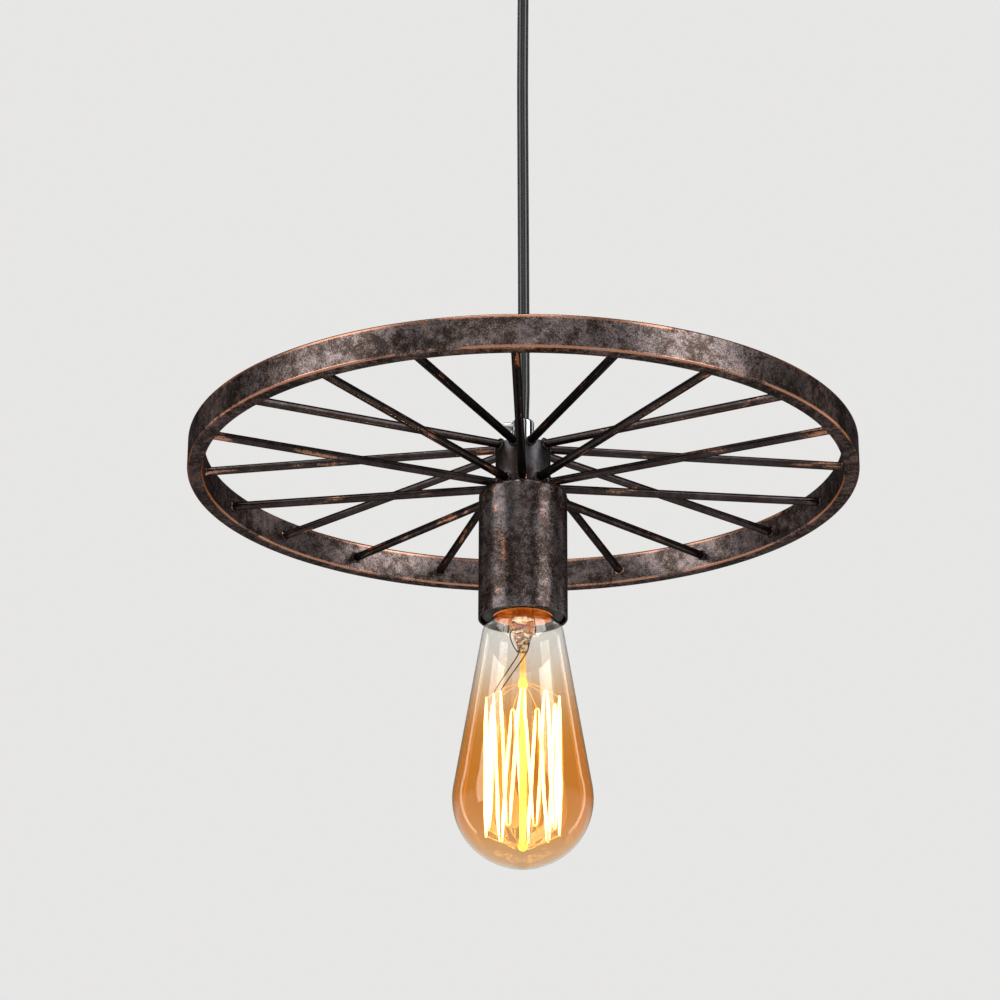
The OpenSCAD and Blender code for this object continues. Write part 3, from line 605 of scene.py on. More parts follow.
class Sprout:  # grows meshes from a node tree with named inputs
    def __init__(self, name, **inputs):
        self.tree = bpy.data.node_groups.new(name, "GeometryNodeTree")
        self.tree.interface.new_socket("Geometry", in_out="OUTPUT", socket_type="NodeSocketGeometry")
        for kind, labels in inputs.items():
            for label in labels.split(", "):
                self.tree.interface.new_socket(label, in_out="INPUT", socket_type="NodeSocket" + kind)
        self.tree.interface.new_socket("Finish", in_out="INPUT", socket_type="NodeSocketMaterial")
        self.recipe = Recipe(self.tree)
        self.entry = self.tree.nodes.new("NodeGroupInput")

    def asked(self, label):
        return Wire(self.recipe, self.entry.outputs[label])

    def middle(self, first, second):
        return (self.asked(first) + self.asked(second)) / 2

    def sweep(self, curve, sides, radius, scale=None):  # a capped round bar along a curve
        sockets = {"Resolution": sides, "Radius": radius}
        ring = self.recipe.node("GeometryNodeCurvePrimitiveCircle", {"mode": "RADIUS"}, sockets)
        sockets = {"Curve": curve, "Profile Curve": ring, "Fill Caps": True}
        if scale:
            sockets["Scale"] = scale
        return self.recipe.node("GeometryNodeCurveToMesh", None, sockets)

    def shaken(self, geometry, scale, strength):  # moves each point a little by a noise
        recipe = self.recipe
        here = recipe.node("GeometryNodeInputPosition")
        wave = recipe.node("ShaderNodeTexNoise", None, {"Vector": here, "Scale": scale, "Detail": 1.0}, "Color")
        centred = recipe.vector("SUBTRACT", {"Vector": wave, "Vector_001": (0.5, 0.5, 0.5)})
        shake = recipe.vector("SCALE", {"Vector": centred, "Scale": strength})
        return recipe.node("GeometryNodeSetPosition", None, {"Geometry": geometry, "Offset": shake})

    def close(self, geometry):  # real meshes with the finish on them
        recipe = self.recipe
        real = recipe.node("GeometryNodeRealizeInstances", None, {"Geometry": geometry})
        smooth = recipe.node("GeometryNodeSetShadeSmooth", None, {"Geometry": real})
        sockets = {"Geometry": smooth, "Material": self.asked("Finish")}
        dressed = recipe.node("GeometryNodeSetMaterial", None, sockets)
        recipe.node("NodeGroupOutput", None, {"Geometry": dressed}, None)

    def grow(self, name, values):
        seedling = addObject(name + "Seedling", bpy.data.meshes.new(name + "Seedling"))
        modifier = seedling.modifiers.new("grow", "NODES")
        modifier.node_group = self.tree
        for item in self.tree.interface.items_tree:
            if item.in_out == "INPUT" and item.name in values:
                modifier[item.identifier] = values[item.name]
        ready = seedling.evaluated_get(bpy.context.evaluated_depsgraph_get())
        mesh = bpy.data.meshes.new_from_object(ready)
        mesh.name = name
        bpy.data.objects.remove(seedling)
        return addObject(name, mesh)


def roundedBar(inner, outer, low, high, radius, steps):  # a closed outline with rounded corners
    sides = (outer - radius, inner + radius, inner + radius, outer - radius)
    levels = (high - radius, high - radius, low + radius, low + radius)
    corners = (arc(x, y, radius, 90 * k, 90 * (k + 1), steps) for k, (x, y) in enumerate(zip(sides, levels)))
    return [point for corner in corners for point in corner]


rimSides = [wheel[key] / mm for key in ("inner", "outer")]
rimLevels = [(wheel["middle"] + side * wheel["halfHeight"]) / mm for side in (-1, 1)]
rim = lathe("rim", roundedBar(*rimSides, *rimLevels, wheel["edge"] / mm, 5), [rimIron], 288, True)
place(rim, "lamp", "rim_iron", "rim")


def buildSpoke(sprout):  # a straight bar from the hub, low or high in turn, into the rim
    recipe, asked = sprout.recipe, sprout.asked
    number = asked("Number")
    turn = (number - 1) / asked("Count") * math.tau - math.pi / 2
    entry = asked("High Entry") + (asked("Low Entry") - asked("High Entry")) * number.of("FLOORED_MODULO", 2.0)
    flatX, flatY = turn.of("COSINE"), turn.of("SINE")
    rise = (asked("Rim Entry") - entry) / (asked("Rim Radius") - asked("Hub Radius"))

    def pointAt(radius):
        height = entry + (radius - asked("Hub Radius")) * rise
        return recipe.point(flatX * radius, flatY * radius, height)

    ends = {"Start": pointAt(asked("Hub Radius") - asked("Hub Depth")),
            "End": pointAt(asked("Rim Radius") + asked("Rim Depth"))}
    line = recipe.node("GeometryNodeCurvePrimitiveLine", {"mode": "POINTS"}, ends)
    line = recipe.node("GeometryNodeResampleCurve", {"mode": "COUNT"}, {"Curve": line, "Count": 40})
    sprout.close(sprout.sweep(line, 20, asked("Width") / 2))


spokeTree = Sprout("spokeTree", Float="Number, Count, Hub Radius, Rim Radius, Low Entry, High Entry, Rim Entry, "
                                      "Hub Depth, Rim Depth, Width")
buildSpoke(spokeTree)
spokeValues = {
    "Count": float(wheel["spokes"]), "Hub Radius": hubShape["radius"] * mm, "Rim Radius": wheel["inner"],
    "Low Entry": wheel["hubEntryLow"], "High Entry": wheel["hubEntryHigh"], "Rim Entry": wheel["rimEntry"],
    "Hub Depth": wheel["hubDepth"], "Rim Depth": wheel["rimDepth"], "Width": wheel["spokeWidth"],
    "Finish": spokeIron,
}
for number in range(1, wheel["spokes"] + 1):
    spoke = spokeTree.grow(f"spoke{number:02d}", {**spokeValues, "Number": float(number)})
    spoke.data.set_sharp_from_angle(angle=math.radians(50))
    place(spoke, "lamp", "spoke_iron", f"spoke_{number:02d}")

beadRange = {"Min": (0.92, 0.85), "Max": (1.1, 1.15)}  # the least and most of a weld's width and depth


def buildWelds(sprout):  # a lumpy bead round each spoke's end
    recipe, asked = sprout.recipe, sprout.asked
    sockets = {"Vertices": asked("Count"), "Radius": asked("Ring Radius")}
    ring = recipe.node("GeometryNodeMeshCircle", {"fill_type": "NONE"}, sockets, "Mesh")
    odd = recipe.node("GeometryNodeInputIndex").of("FLOORED_MODULO", 2.0)
    lift = recipe.point(z=asked("High") + (asked("Low") - asked("High")) * odd)
    points = recipe.node("GeometryNodeSetPosition", None, {"Geometry": ring, "Offset": lift})
    x, y, z = recipe.split(recipe.node("GeometryNodeInputPosition"))
    outwards = {"Vector": recipe.point(x, y)}
    turned = recipe.node("FunctionNodeAlignRotationToVector", {"axis": "Z"}, outwards)
    bead = recipe.node("GeometryNodeMeshIcoSphere", None, {"Radius": 1.0, "Subdivisions": 3}, "Mesh")
    sockets = {"Seed": asked("Seed")}
    for end, (wide, deep) in beadRange.items():
        sockets[end] = recipe.point(asked("Width") * wide, asked("Width") * wide, asked("Depth") * deep)
    sizes = recipe.node("FunctionNodeRandomValue", {"data_type": "FLOAT_VECTOR"}, sockets, "Value")
    sockets = {"Points": points, "Instance": bead, "Rotation": turned, "Scale": sizes}
    beads = recipe.node("GeometryNodeInstanceOnPoints", None, sockets)
    real = recipe.node("GeometryNodeRealizeInstances", None, {"Geometry": beads})
    sprout.close(sprout.shaken(real, 900.0, asked("Lumps")))


weldTree = Sprout("weldTree", Int="Count, Seed", Float="Ring Radius, Low, High, Width, Depth, Lumps")
buildWelds(weldTree)
weldValues = {"Count": wheel["spokes"], "Width": wheel["weldWidth"], "Depth": wheel["weldDepth"],
              "Lumps": wheel["weldLumps"], "Finish": spokeIron}
weldRings = (("hubWelds", hubShape["radius"] * mm, wheel["hubEntryLow"], wheel["hubEntryHigh"], 5),
             ("rimWelds", wheel["inner"], wheel["rimEntry"], wheel["rimEntry"], 9))
for name, radius, low, high, seed in weldRings:
    values = {**weldValues, "Ring Radius": radius, "Low": low, "High": high, "Seed": seed}
    place(weldTree.grow(name, values), "lamp", "spoke_iron")
print("wheel made")


def hubOutline(shape):
    r, bevel, bore, foot, top = (shape[key] for key in ("radius", "bevel", "bore", "foot", "top"))
    low, high = ([(bore, foot), (r - bevel, foot)] + arc(r - bevel, foot + bevel, bevel, -90, 0, 4)[1:],
                 arc(r - bevel, top - bevel, bevel, 0, 90, 4) + [(bore, top)])
    return low + high


def cupOutline(shape):  # a drawn cup with a rounded shoulder and a rolled lip, closed round its wall
    r, wall, top, mouth, shoulder, bore = (
        shape[key] for key in ("radius", "wall", "top", "mouth", "shoulder", "bore"))
    body = [(bore, top)] + arc(r - shoulder, top - shoulder, shoulder, 90, 0, 8)
    body += [(r, top - (top - mouth) * k / 12) for k in range(1, 12)]
    body += arc(r - wall / 2, mouth + wall / 2, wall / 2, 0, -180, 8)
    return body + arc(r - shoulder, top - shoulder, shoulder - wall, 0, 90, 6) + [(bore, top - wall)]


place(lathe("hub", hubOutline(hubShape), [hubIron], 96, True), "lamp", "hub_iron", "hub")
place(lathe("cup", cupOutline(cupShape), [cupIron], 128, True), "lamp", "cup_iron", "cup")

gripShape = {"radius": 5.2, "top": -286.5, "seat": -300.0, "foot": -308.0, "bore": 3.05, "footRadius": 4.0,
             "crown": 1.6, "crownFrom": -289.2, "bevel": 0.3, "seatBevel": 0.2, "screwHeight": -289.5}


def gripOutline(shape):  # a collar with a rounded crown over a threaded foot
    r, bore, neck, top, seat, foot, crown, bevel, soft = (shape[key] for key in (
        "radius", "bore", "footRadius", "top", "seat", "foot", "crown", "bevel", "seatBevel"))
    outline = [(bore, foot), (neck - bevel, foot), (neck, foot + bevel), (neck, seat)]
    outline += [(r - soft, seat), (r, seat + soft), (r, shape["crownFrom"])]
    return outline + arc(r - crown, top - crown, crown, 0, 90, 8) + [(bore + bevel, top), (bore, top - bevel)]


lampGrip = lathe("lampGrip", gripOutline(gripShape), [brightChrome], 64, True)
place(lampGrip, "lamp", "bright_chrome", "lamp_gland")

thumbScrew = {"inside": 3.05, "shank": 1.5, "washer": 1.9, "clear": 0.15, "neck": 0.35, "reach": 4.4, "head": 2.15,
              "chamfer": 0.45, "dome": 1.3, "ribDepth": 0.2, "ribs": 14, "slot": (6, 0.6, 1.6)}


def clampScrew(name, height, gripRadius):  # a ribbed and slotted thumb screw that points to -X
    s = thumbScrew
    face, end = gripRadius + s["clear"], gripRadius + s["reach"]
    outline = [(0, s["inside"]), (s["shank"], s["inside"]), (s["shank"], face), (s["washer"], face),
               (s["head"], face + s["neck"]), (s["head"], end - 0.5), (s["head"] - s["chamfer"], end - 0.05),
               (s["dome"], end), (0, end)]

    def shape(index, radius, reach, turn):  # ribs on the head's side
        return (radius - (s["ribDepth"] if index in (4, 5) and math.sin(turn * s["ribs"]) < 0 else 0), reach)

    screw = lathe(name, outline, [brightChrome], 112, False, shape, None, 25)
    slot = bmesh.new()
    bmesh.ops.create_cube(slot, size=1.0)
    long, wide, deep = s["slot"]
    for corner in slot.verts:
        corner.co = Vector((corner.co.x * long, corner.co.y * wide, end + corner.co.z * deep)) * mm
    cutter = settle(name + "Cutter", slot, [brightChrome])
    cut = screw.modifiers.new("slot", "BOOLEAN")
    cut.operation, cut.object, cut.solver = "DIFFERENCE", cutter, "EXACT"
    mesh = bpy.data.meshes.new_from_object(screw.evaluated_get(bpy.context.evaluated_depsgraph_get()))
    screw.modifiers.clear()
    screw.data = mesh
    bpy.data.objects.remove(cutter)
    mesh.transform(Matrix.Translation((0, 0, height * mm)) @ Matrix.Rotation(math.radians(-90), 4, "Y"))
    return screw


glandShape = {
    "radius": 7.0, "bevel": 0.5, "bore": 3.05, "seat": -25.0, "screwHeight": -28.5,
    "stubRadius": 4.9, "stubTop": -17.0, "stubRows": 64, "pitch": 1.0, "threadDepth": 0.12, "fade": 0.6,
    "bell": [(7.0, -35.0), (7.25, -36.4), (8.2, -39.2), (9.05, -40.7), (8.95, -41.3), (8.45, -41.5), (7.9, -41.5),
             (7.55, -41.1), (6.4, -39.2), (5.2, -37.2), (4.6, -36.0), (4.6, -32.4), (3.05, -32.4)],
}
lampScrew = clampScrew("lampGripScrew", gripShape["screwHeight"], gripShape["radius"])
place(lampScrew, "lamp", "bright_chrome", "lamp_gland_screw")
canopyScrew = clampScrew("canopyGripScrew", glandShape["screwHeight"], glandShape["radius"])
place(canopyScrew, "canopy", "bright_chrome", "canopy_gland_screw")

canopyShape = {"radius": 50.0, "foot": -25.0, "edge": 4.0, "wall": 1.2, "bore": 5.05, "flat": 12, "lip": 0.2,
               "lipFrom": -0.3, "lipTop": -0.02}


def canopyOutline(shape):  # a drawn dish, open at the ceiling
    r, foot, edge, wall, bore, lip, lipFrom, lipTop = (shape[key] for key in (
        "radius", "foot", "edge", "wall", "bore", "lip", "lipFrom", "lipTop"))
    flat = bore + shape["flat"]
    outer = [(bore, foot), (flat, foot)] + arc(r - edge, foot + edge, edge, -90, 0, 10)
    outer += [(r, foot * (1 - k / 6)) for k in range(1, 6)] + [(r, lipFrom), (r - lip, lipTop)]
    inner = [(r - wall + lip, lipTop), (r - wall, lipFrom)] + [(r - wall, foot * k / 6) for k in range(1, 5)]
    inner += arc(r - edge, foot + edge, edge - wall, 0, -90, 6)
    return outer + inner + [(flat, foot + wall), (bore, foot + wall)]


place(lathe("canopy", canopyOutline(canopyShape), [canopyIron], 160, True), "canopy", "canopy_iron", "canopy")


def threadWave(turn, height, pitch, depth, start, end, lead):  # a rounded thread that fades at both ends
    fade = max(0.0, min(1.0, (height - start) / lead, (end - height) / lead))
    return depth * fade * math.cos(math.tau * height / pitch - turn)


def glandOutline(shape):
    low, high, rows, bevel = (shape[key] for key in ("seat", "stubTop", "stubRows", "bevel"))
    stub = [(shape["stubRadius"], low + (high - low) * k / rows) for k in range(rows + 1)]
    inner = shape["radius"] - bevel
    shoulder = [(inner, low)] + arc(inner, low - bevel, bevel, 90, 0, 4)[1:]
    return [(shape["bore"], high)] + stub[::-1] + shoulder + shape["bell"]


def stubThread(index, radius, height, turn):
    s = glandShape
    if not 1 <= index <= s["stubRows"] + 1:
        return (radius, height)
    wave = threadWave(turn, height, s["pitch"], s["threadDepth"], s["seat"], s["stubTop"], s["fade"])
    return (radius + wave, height)


canopyGrip = lathe("canopyGrip", glandOutline(glandShape), [brightChrome], 72, True, stubThread)
place(canopyGrip, "canopy", "bright_chrome", "canopy_gland")
print("metal bodies made")

wireShape = {
    "apart": 1.15, "radius": 0.95, "lampTop": -294.8, "lampBend": -335.9, "terminal": (9.0, -344.6),
    "ceilingFoot": -14.6, "block": (-5.6, 3.5, -7.0), "inside": 2.9,
}


def wirePath(way):  # from the lower grip down the tube and out to a terminal
    w = wireShape
    start, bend = (Vector((0, way * w["apart"], w[key])) for key in ("lampTop", "lampBend"))
    mouth = Vector((0, way * w["terminal"][0], w["terminal"][1]))
    pull = (bend.z - mouth.z) / 2
    line = [start + (bend - start) * k / 4 for k in range(4)]
    return line + bezier(bend, (0, 0, -pull), (0, 0, pull), mouth, 14) + [mouth - Vector((0, 0, w["inside"]))]


def ceilingPath(way):  # from the stripped cord to a pole of the terminal block
    w = wireShape
    start = Vector((0, way * w["apart"], w["ceilingFoot"]))
    mouth = Vector((w["block"][0], way * w["block"][1], w["block"][2]))
    rise = mouth.z - start.z
    line = [start - Vector((0, 0, 0.35))] + bezier(start, (0, 0, rise * 0.8), (3, 0, 0), mouth, 14)
    return line + [mouth - Vector((w["inside"], 0, 0))]


wires = (("lampLiveWire", wirePath(1), liveSleeve, "lamp", "live_insulation", "lamp_live_wire"),
         ("lampNeutralWire", wirePath(-1), neutralSleeve, "lamp", "neutral_insulation", "lamp_neutral_wire"),
         ("liveWire", ceilingPath(1), liveSleeve, "canopy", "live_insulation", "live_wire"),
         ("neutralWire", ceilingPath(-1), neutralSleeve, "canopy", "neutral_insulation", "neutral_wire"))
for name, path, material, body, slot, node in wires:
    place(tube(name, path, wireShape["radius"], 14, [material], False), body, slot, node)


def ringedSleeve(name, sleeve, materials):  # thin metal with a rolled thread
    s = sleeve
    radius, wall, low, high, lid, rows = (s[key] for key in ("radius", "wall", "low", "high", "lid", "rows"))
    heights = [low + (high - low) * k / rows for k in range(rows + 1)]
    outline = [(radius + wall, z) for z in heights]
    if lid is not None:
        outline += [(lid, high), (lid, high - wall)]
    outline += [(radius, z - (wall if lid is not None and z == high else 0)) for z in reversed(heights)]
    half = rows + 1 + (1 if lid is not None else 0)  # where the inner side starts

    def shape(index, r, z, turn):
        if r not in (radius, radius + wall):
            return (r, z)
        rim = s["flared"] * max(0.0, 1 - (z - low) / s["flare"]) ** 2
        wave = threadWave(turn, z, capThread, s["depth"], low + s["flare"], high - s["plain"], s["fade"])
        return (r + rim + wave, z)

    def paintOf(number):
        return 1 if number >= half and len(materials) > 1 else 0

    return lathe(name, outline, materials, 96, True, shape, paintOf, 50)


holderShape = {
    "shell": {"radius": 13.55, "wall": 0.35, "low": -380.0, "high": -356.05, "lid": 9.0, "depth": 0.12,
              "flared": 0.0, "flare": 1.4, "plain": 0.8, "fade": 2.0, "rows": 96},
    "skirtTop": [(17.6, -347.0), (19.35, -347.0), (19.35, -383.5)],
    "outerLip": (18.35, -383.5, 1.0), "lipFoot": [(15.2, -384.5), (14.4, -384.5)], "innerLip": (14.4, -383.9, 0.6),
    "skirtBore": [(13.8, -380.45), (14.0, -380.4), (14.0, -356.05), (17.6, -356.05)],
}
shell = ringedSleeve("holderShell", holderShape["shell"], [holderBrass])
place(shell, "lamp", "holder_brass", "socket_shell")
skirtOutline = holderShape["skirtTop"] + arc(*holderShape["outerLip"], 0, -90, 6)[1:] + holderShape["lipFoot"]
skirtOutline += arc(*holderShape["innerLip"], -90, -180, 5)[1:] + holderShape["skirtBore"]
skirt = lathe("holderSkirt", skirtOutline, [holderBlack], 112, True)
place(skirt, "lamp", "holder_black", "socket_skirt")
print("holder made")

capShape = {
    "sleeve": {"radius": 12.84, "wall": 0.25, "low": -384.7, "high": -363.5, "lid": None, "depth": 0.2,
               "flared": 0.75, "flare": 1.4, "plain": 0.8, "fade": 2.0, "rows": 96},
    "insulator": [(1.0, -361.05), (5.0, -361.05), (11.1, -363.5), (12.4, -364.1), (12.4, -367.0), (11.1, -367.0),
                  (9.6, -365.1), (1.0, -362.6)],
    "contact": [(0, -362.5), (0.9, -362.5), (0.9, -361.0), (4.7, -361.0), (5.0, -360.7), (4.2, -360.2),
                (2.4, -360.02), (0, -360.0)],
}
bulbCap = ringedSleeve("bulbCap", capShape["sleeve"], [capNickel, capPaintedGlow])
place(bulbCap, "bulb", "cap_metal", "bulb_cap")
insulator = lathe("bulbInsulator", capShape["insulator"], [capGlass], 72, True)
place(insulator, "bulb", "cap_glass", "bulb_insulator")
contact = lathe("bulbContact", capShape["contact"], [solderTin], 48)
place(contact, "bulb_carrier", "cap_metal", "bulb_contact")

bulbShape = {
    "neckRadius": 12.6, "neckTop": -368.0, "shoulderX": 11.932, "shoulderZ": -393.2, "shoulderR": 7.0,
    "flareTurn": 45.0, "flareBend": 0.85, "slope": 9.8, "bellyRadius": 32.0, "bellyZ": -471.0, "wall": 0.55,
    "tipRadius": 7.5, "tipDrop": 0.9,
}


def between(first, last, t):
    return tuple(a + (b - a) * t for a, b in zip(first, last))


def glassOutline(depth):  # the neck flares straight out under the cup's lip, then rounds into the cone
    b = bulbShape
    neck, shoulder, slope = b["neckRadius"] - depth, b["shoulderR"] - depth, b["slope"]
    bend, flareTurn = b["flareBend"], math.radians(b["flareTurn"])
    cone = arc(b["shoulderX"], b["shoulderZ"], shoulder, b["flareTurn"], slope, 12)
    run = (cone[0][0] - neck) / math.sin(flareTurn)
    corner = (neck, cone[0][1] + run * math.cos(flareTurn))
    above = (neck, corner[1] + bend)
    below = (neck + bend * math.sin(flareTurn), corner[1] - bend * math.cos(flareTurn))
    points = [between((neck, b["neckTop"]), above, k / 8) for k in range(8)]
    points += [between(between(above, corner, k / 6), between(corner, below, k / 6), k / 6) for k in range(7)]
    points += [between(below, cone[0], k / 5) for k in range(1, 5)] + cone
    belly = arc(0, b["bellyZ"], b["bellyRadius"] - depth, slope, -90, 56)
    points += [between(cone[-1], belly[0], k / 12) for k in range(1, 12)]
    tip = [z - b["tipDrop"] * max(0.0, 1 - r / b["tipRadius"]) ** 1.6 for r, z in belly]  # drawn off
    return points + [(r, z) for (r, _), z in zip(belly[:-1], tip)] + [(0.0, tip[-1])]


glass = lathe("bulbGlass", glassOutline(0) + glassOutline(bulbShape["wall"])[::-1], [amberGlass], 128, True)
place(glass, "bulb", "amber_glass", "bulb_glass")

stemShape = {
    "flareRadius": 11.6, "flareTop": -369.2, "tube": 5.0, "tubeTop": -377.0, "pressTop": -388.0, "pressEnd": -402.4,
    "pressTip": 2.1, "wall": 0.8, "wide": 1.22, "thin": 0.62, "lumps": ((0.05, 3, 1.1), (0.06, 2, 2.3)),
}


def flare(start, end, steps):  # an S-shaped sweep of radius between two outline points
    found = []
    for k in range(steps + 1):
        t = k / steps
        swept = t * t * (3 - 2 * t)
        found.append((start[0] + (end[0] - start[0]) * swept, start[1] + (end[1] - start[1]) * t))
    return found


def stemOutline(s):
    inner = s["tube"] - s["wall"]
    outer = flare((s["flareRadius"], s["flareTop"]), (s["tube"], s["tubeTop"]), 12)
    outer += [(s["tube"], s["tubeTop"] + (s["pressTop"] - s["tubeTop"]) * k / 6) for k in range(1, 6)]
    press = flare((s["tube"], s["pressTop"]), (s["pressTip"], s["pressEnd"] + 1.2), 16)
    tip = [(1.6, s["pressEnd"] + 0.3), (0.9, s["pressEnd"]), (0, s["pressEnd"] - 0.02)]
    hollow = [(0, s["pressTop"] + 0.6), (2.0, s["pressTop"] + 0.9), (inner, s["pressTop"] + 2.2)]
    hollow += flare((inner, s["tubeTop"] + 0.3), (s["flareRadius"] - s["wall"], s["flareTop"]), 12)
    return outer + press + tip + hollow


def pinched(index, radius, height, turn):  # the press is flattened and lumpy
    s = stemShape
    flat = min(1.0, max(0.0, (s["pressTop"] + 3.0 - height) / 5))
    press = s["thin"] + (s["wide"] - s["thin"]) * math.cos(turn) ** 2
    lumps = sum(size * math.sin(around * turn + height * down) for size, around, down in s["lumps"])
    return (radius * (1 + flat * (press - 1 + lumps)), height)


stem = lathe("bulbStem", stemOutline(stemShape), [stemGlass], 72, True, pinched)
place(stem, "bulb", "stem_glass", "bulb_stem")

rodShape = {"radius": 1.5, "bead": 2.4, "top": -402.6, "upperBead": -417.0, "lowerBead": -493.0,
            "tip": [(1.6, -494.9), (0.9, -495.4), (0, -495.6)]}


def rodOutline(s):
    def bead(height):
        swell, reach = s["bead"] - s["radius"], s["bead"]
        sides = [s["radius"] + swell * math.sin(math.pi * k / 10) for k in range(11)]
        return [(side, height + reach * (1 - k / 5)) for k, side in enumerate(sides)]

    top = [(0, s["top"]), (s["radius"], s["top"] - 0.2)]
    return top + bead(s["upperBead"]) + bead(s["lowerBead"])[:9] + s["tip"]


place(lathe("bulbRod", rodOutline(rodShape), [rodGlass], 48), "bulb", "stem_glass")

cage = {"radius": 17.0, "top": -424.0, "foot": -488.0, "hooks": 9, "drop": 0.9, "gap": 2.9, "wire": 0.74,
        "firstTurn": 228.0, "endGap": 7.0, "jitter": 2.5, "bendShare": 0.42, "seed": 3,
        "rounding": 0.0006, "swayScale": 90.0, "sway": 0.0016, "bendReach": 0.009}


def buildCage(sprout):  # down and up between hooks at the foot and the top, from one lead wire to the other
    recipe, asked = sprout.recipe, sprout.asked
    index = recipe.node("GeometryNodeInputIndex")
    counted = asked("Hooks") * 6 - 1
    sockets = {"Count": counted, "Offset": (0.0, 0.0, 0.001)}
    line = recipe.node("GeometryNodeMeshLine", {"mode": "OFFSET"}, sockets, "Mesh")
    hook = ((index + 2) / 3).of("FLOOR")
    part = index + 1 - hook * 3
    tail = 2 - index.of("MINIMUM", 1.0) - (counted - 1 - index).of("MINIMUM", 1.0)  # 1 at both ends
    high = 1 - hook.of("FLOORED_MODULO", 2.0)
    sockets = {"Min": -1.0, "Max": 1.0, "ID": hook, "Seed": asked("Seed")}
    shake = recipe.node("FunctionNodeRandomValue", {"data_type": "FLOAT"}, sockets, "Value_001")
    turn = asked("First Turn") + hook * math.pi / asked("Hooks") + shake * asked("Jitter") * (1 - tail)
    turn = turn + part * (asked("Gap") + tail * (asked("End Gap") - asked("Gap")))
    drop = asked("Drop") * abs(part)
    height = high * (asked("Top") - drop) + (1 - high) * (asked("Foot") + drop)
    flatX, flatY = (turn.of(operation) * asked("Radius") for operation in ("COSINE", "SINE"))
    spots = {"Geometry": line, "Position": recipe.point(flatX, flatY, height)}
    laid = recipe.node("GeometryNodeSetPosition", None, spots)
    curve = recipe.node("GeometryNodeMeshToCurve", None, {"Mesh": laid})
    sockets = {"Curve": curve, "Count": 3, "Radius": cage["rounding"]}
    curve = recipe.node("GeometryNodeFilletCurve", {"mode": "POLY"}, sockets)
    curve = recipe.node("GeometryNodeSubdivideCurve", None, {"Curve": curve, "Cuts": 5})
    curve = sprout.shaken(curve, cage["swayScale"], cage["sway"])
    z = recipe.split(recipe.node("GeometryNodeInputPosition"))[2]
    half = (asked("Top") - asked("Foot")) / 2
    bend = abs(z - sprout.middle("Top", "Foot")).ease(half - cage["bendReach"], half)
    slim = 1 - bend * (1 - asked("Bend Share"))  # the bends are cooler, so they look thinner
    sprout.close(sprout.sweep(curve, 8, asked("Wire"), slim))


cageTree = Sprout("filamentTree", Int="Seed", Float="Hooks, Radius, Top, Foot, Drop, Gap, First Turn, End Gap, "
                                                    "Wire, Jitter, Bend Share")
buildCage(cageTree)
filament = cageTree.grow("filament", {
    "Hooks": float(cage["hooks"]), "Radius": cage["radius"] * mm, "Top": cage["top"] * mm,
    "Foot": cage["foot"] * mm, "Drop": cage["drop"] * mm, "Gap": math.radians(cage["gap"]),
    "First Turn": math.radians(cage["firstTurn"]),
    "End Gap": math.radians(cage["endGap"]), "Wire": cage["wire"] * mm, "Jitter": math.radians(cage["jitter"]),
    "Bend Share": cage["bendShare"], "Seed": cage["seed"], "Finish": filamentGlow,
})
place(filament, "bulb", "filament", "bulb_filament")

stars = {"beadRadius": 2.3, "hookInset": 0.9, "eye": 0.00062, "eyeReach": 0.0006,
         "upperWire": 0.17, "lowerWire": 0.26, "upperTurn": 40, "lowerTurn": 20}


def buildStar(sprout):  # bowed wires from a bead, each with an eye round its strand
    recipe, asked = sprout.recipe, sprout.asked
    level = asked("Bead Height") * 0.75 + asked("Hook Height") * 0.25
    sockets = {"Resolution": 10, "Start": recipe.point(asked("Bead Radius"), z=asked("Bead Height")),
               "Middle": recipe.point(sprout.middle("Bead Radius", "Hook Radius"), z=level),
               "End": recipe.point(asked("Hook Radius"), z=asked("Hook Height"))}
    arm = recipe.node("GeometryNodeCurveQuadraticBezier", None, sockets)
    sockets = {"Resolution": 14, "Radius": stars["eye"]}
    eye = recipe.node("GeometryNodeCurvePrimitiveCircle", {"mode": "RADIUS"}, sockets)
    reach = recipe.point(asked("Hook Radius") + stars["eyeReach"], z=asked("Hook Height"))
    eye = recipe.node("GeometryNodeTransform", None, {"Geometry": eye, "Translation": reach})
    wires = recipe.node("GeometryNodeJoinGeometry", None, {"Geometry": arm})
    recipe.tree.links.new(eye.socket, wires.socket.node.inputs["Geometry"])
    one = sprout.sweep(wires, 8, asked("Wire"))
    sockets = {"Count": asked("Count"), "Offset": (0.0, 0.0, 0.0)}
    points = recipe.node("GeometryNodeMeshLine", {"mode": "OFFSET"}, sockets, "Mesh")
    spin = recipe.point(z=asked("First Turn") + recipe.node("GeometryNodeInputIndex") * asked("Spacing"))
    sockets = {"Points": points, "Instance": one, "Rotation": spin}
    sprout.close(recipe.node("GeometryNodeInstanceOnPoints", None, sockets))


starTree = Sprout("starTree", Int="Count", Float="Bead Radius, Bead Height, Hook Radius, Hook Height, First Turn, "
                                                 "Spacing, Wire")
buildStar(starTree)
starValues = {"Bead Radius": stars["beadRadius"] * mm, "Hook Radius": (cage["radius"] - stars["hookInset"]) * mm,
              "Spacing": math.tau / cage["hooks"], "Finish": supportWire}
starPairs = (("upper", "top", cage["hooks"] - 1, ("bulb_supports",)), ("lower", "foot", cage["hooks"], ()))
for level, hooks, count, nodes in starPairs:
    star = starTree.grow(level + "Supports", {
        **starValues, "Wire": stars[level + "Wire"] * mm, "Bead Height": rodShape[level + "Bead"] * mm,
        "Hook Height": cage[hooks] * mm, "Count": count,
        "First Turn": math.radians(cage["firstTurn"] + stars[level + "Turn"]),
    })
    place(star, "bulb", "support_wire", *nodes)

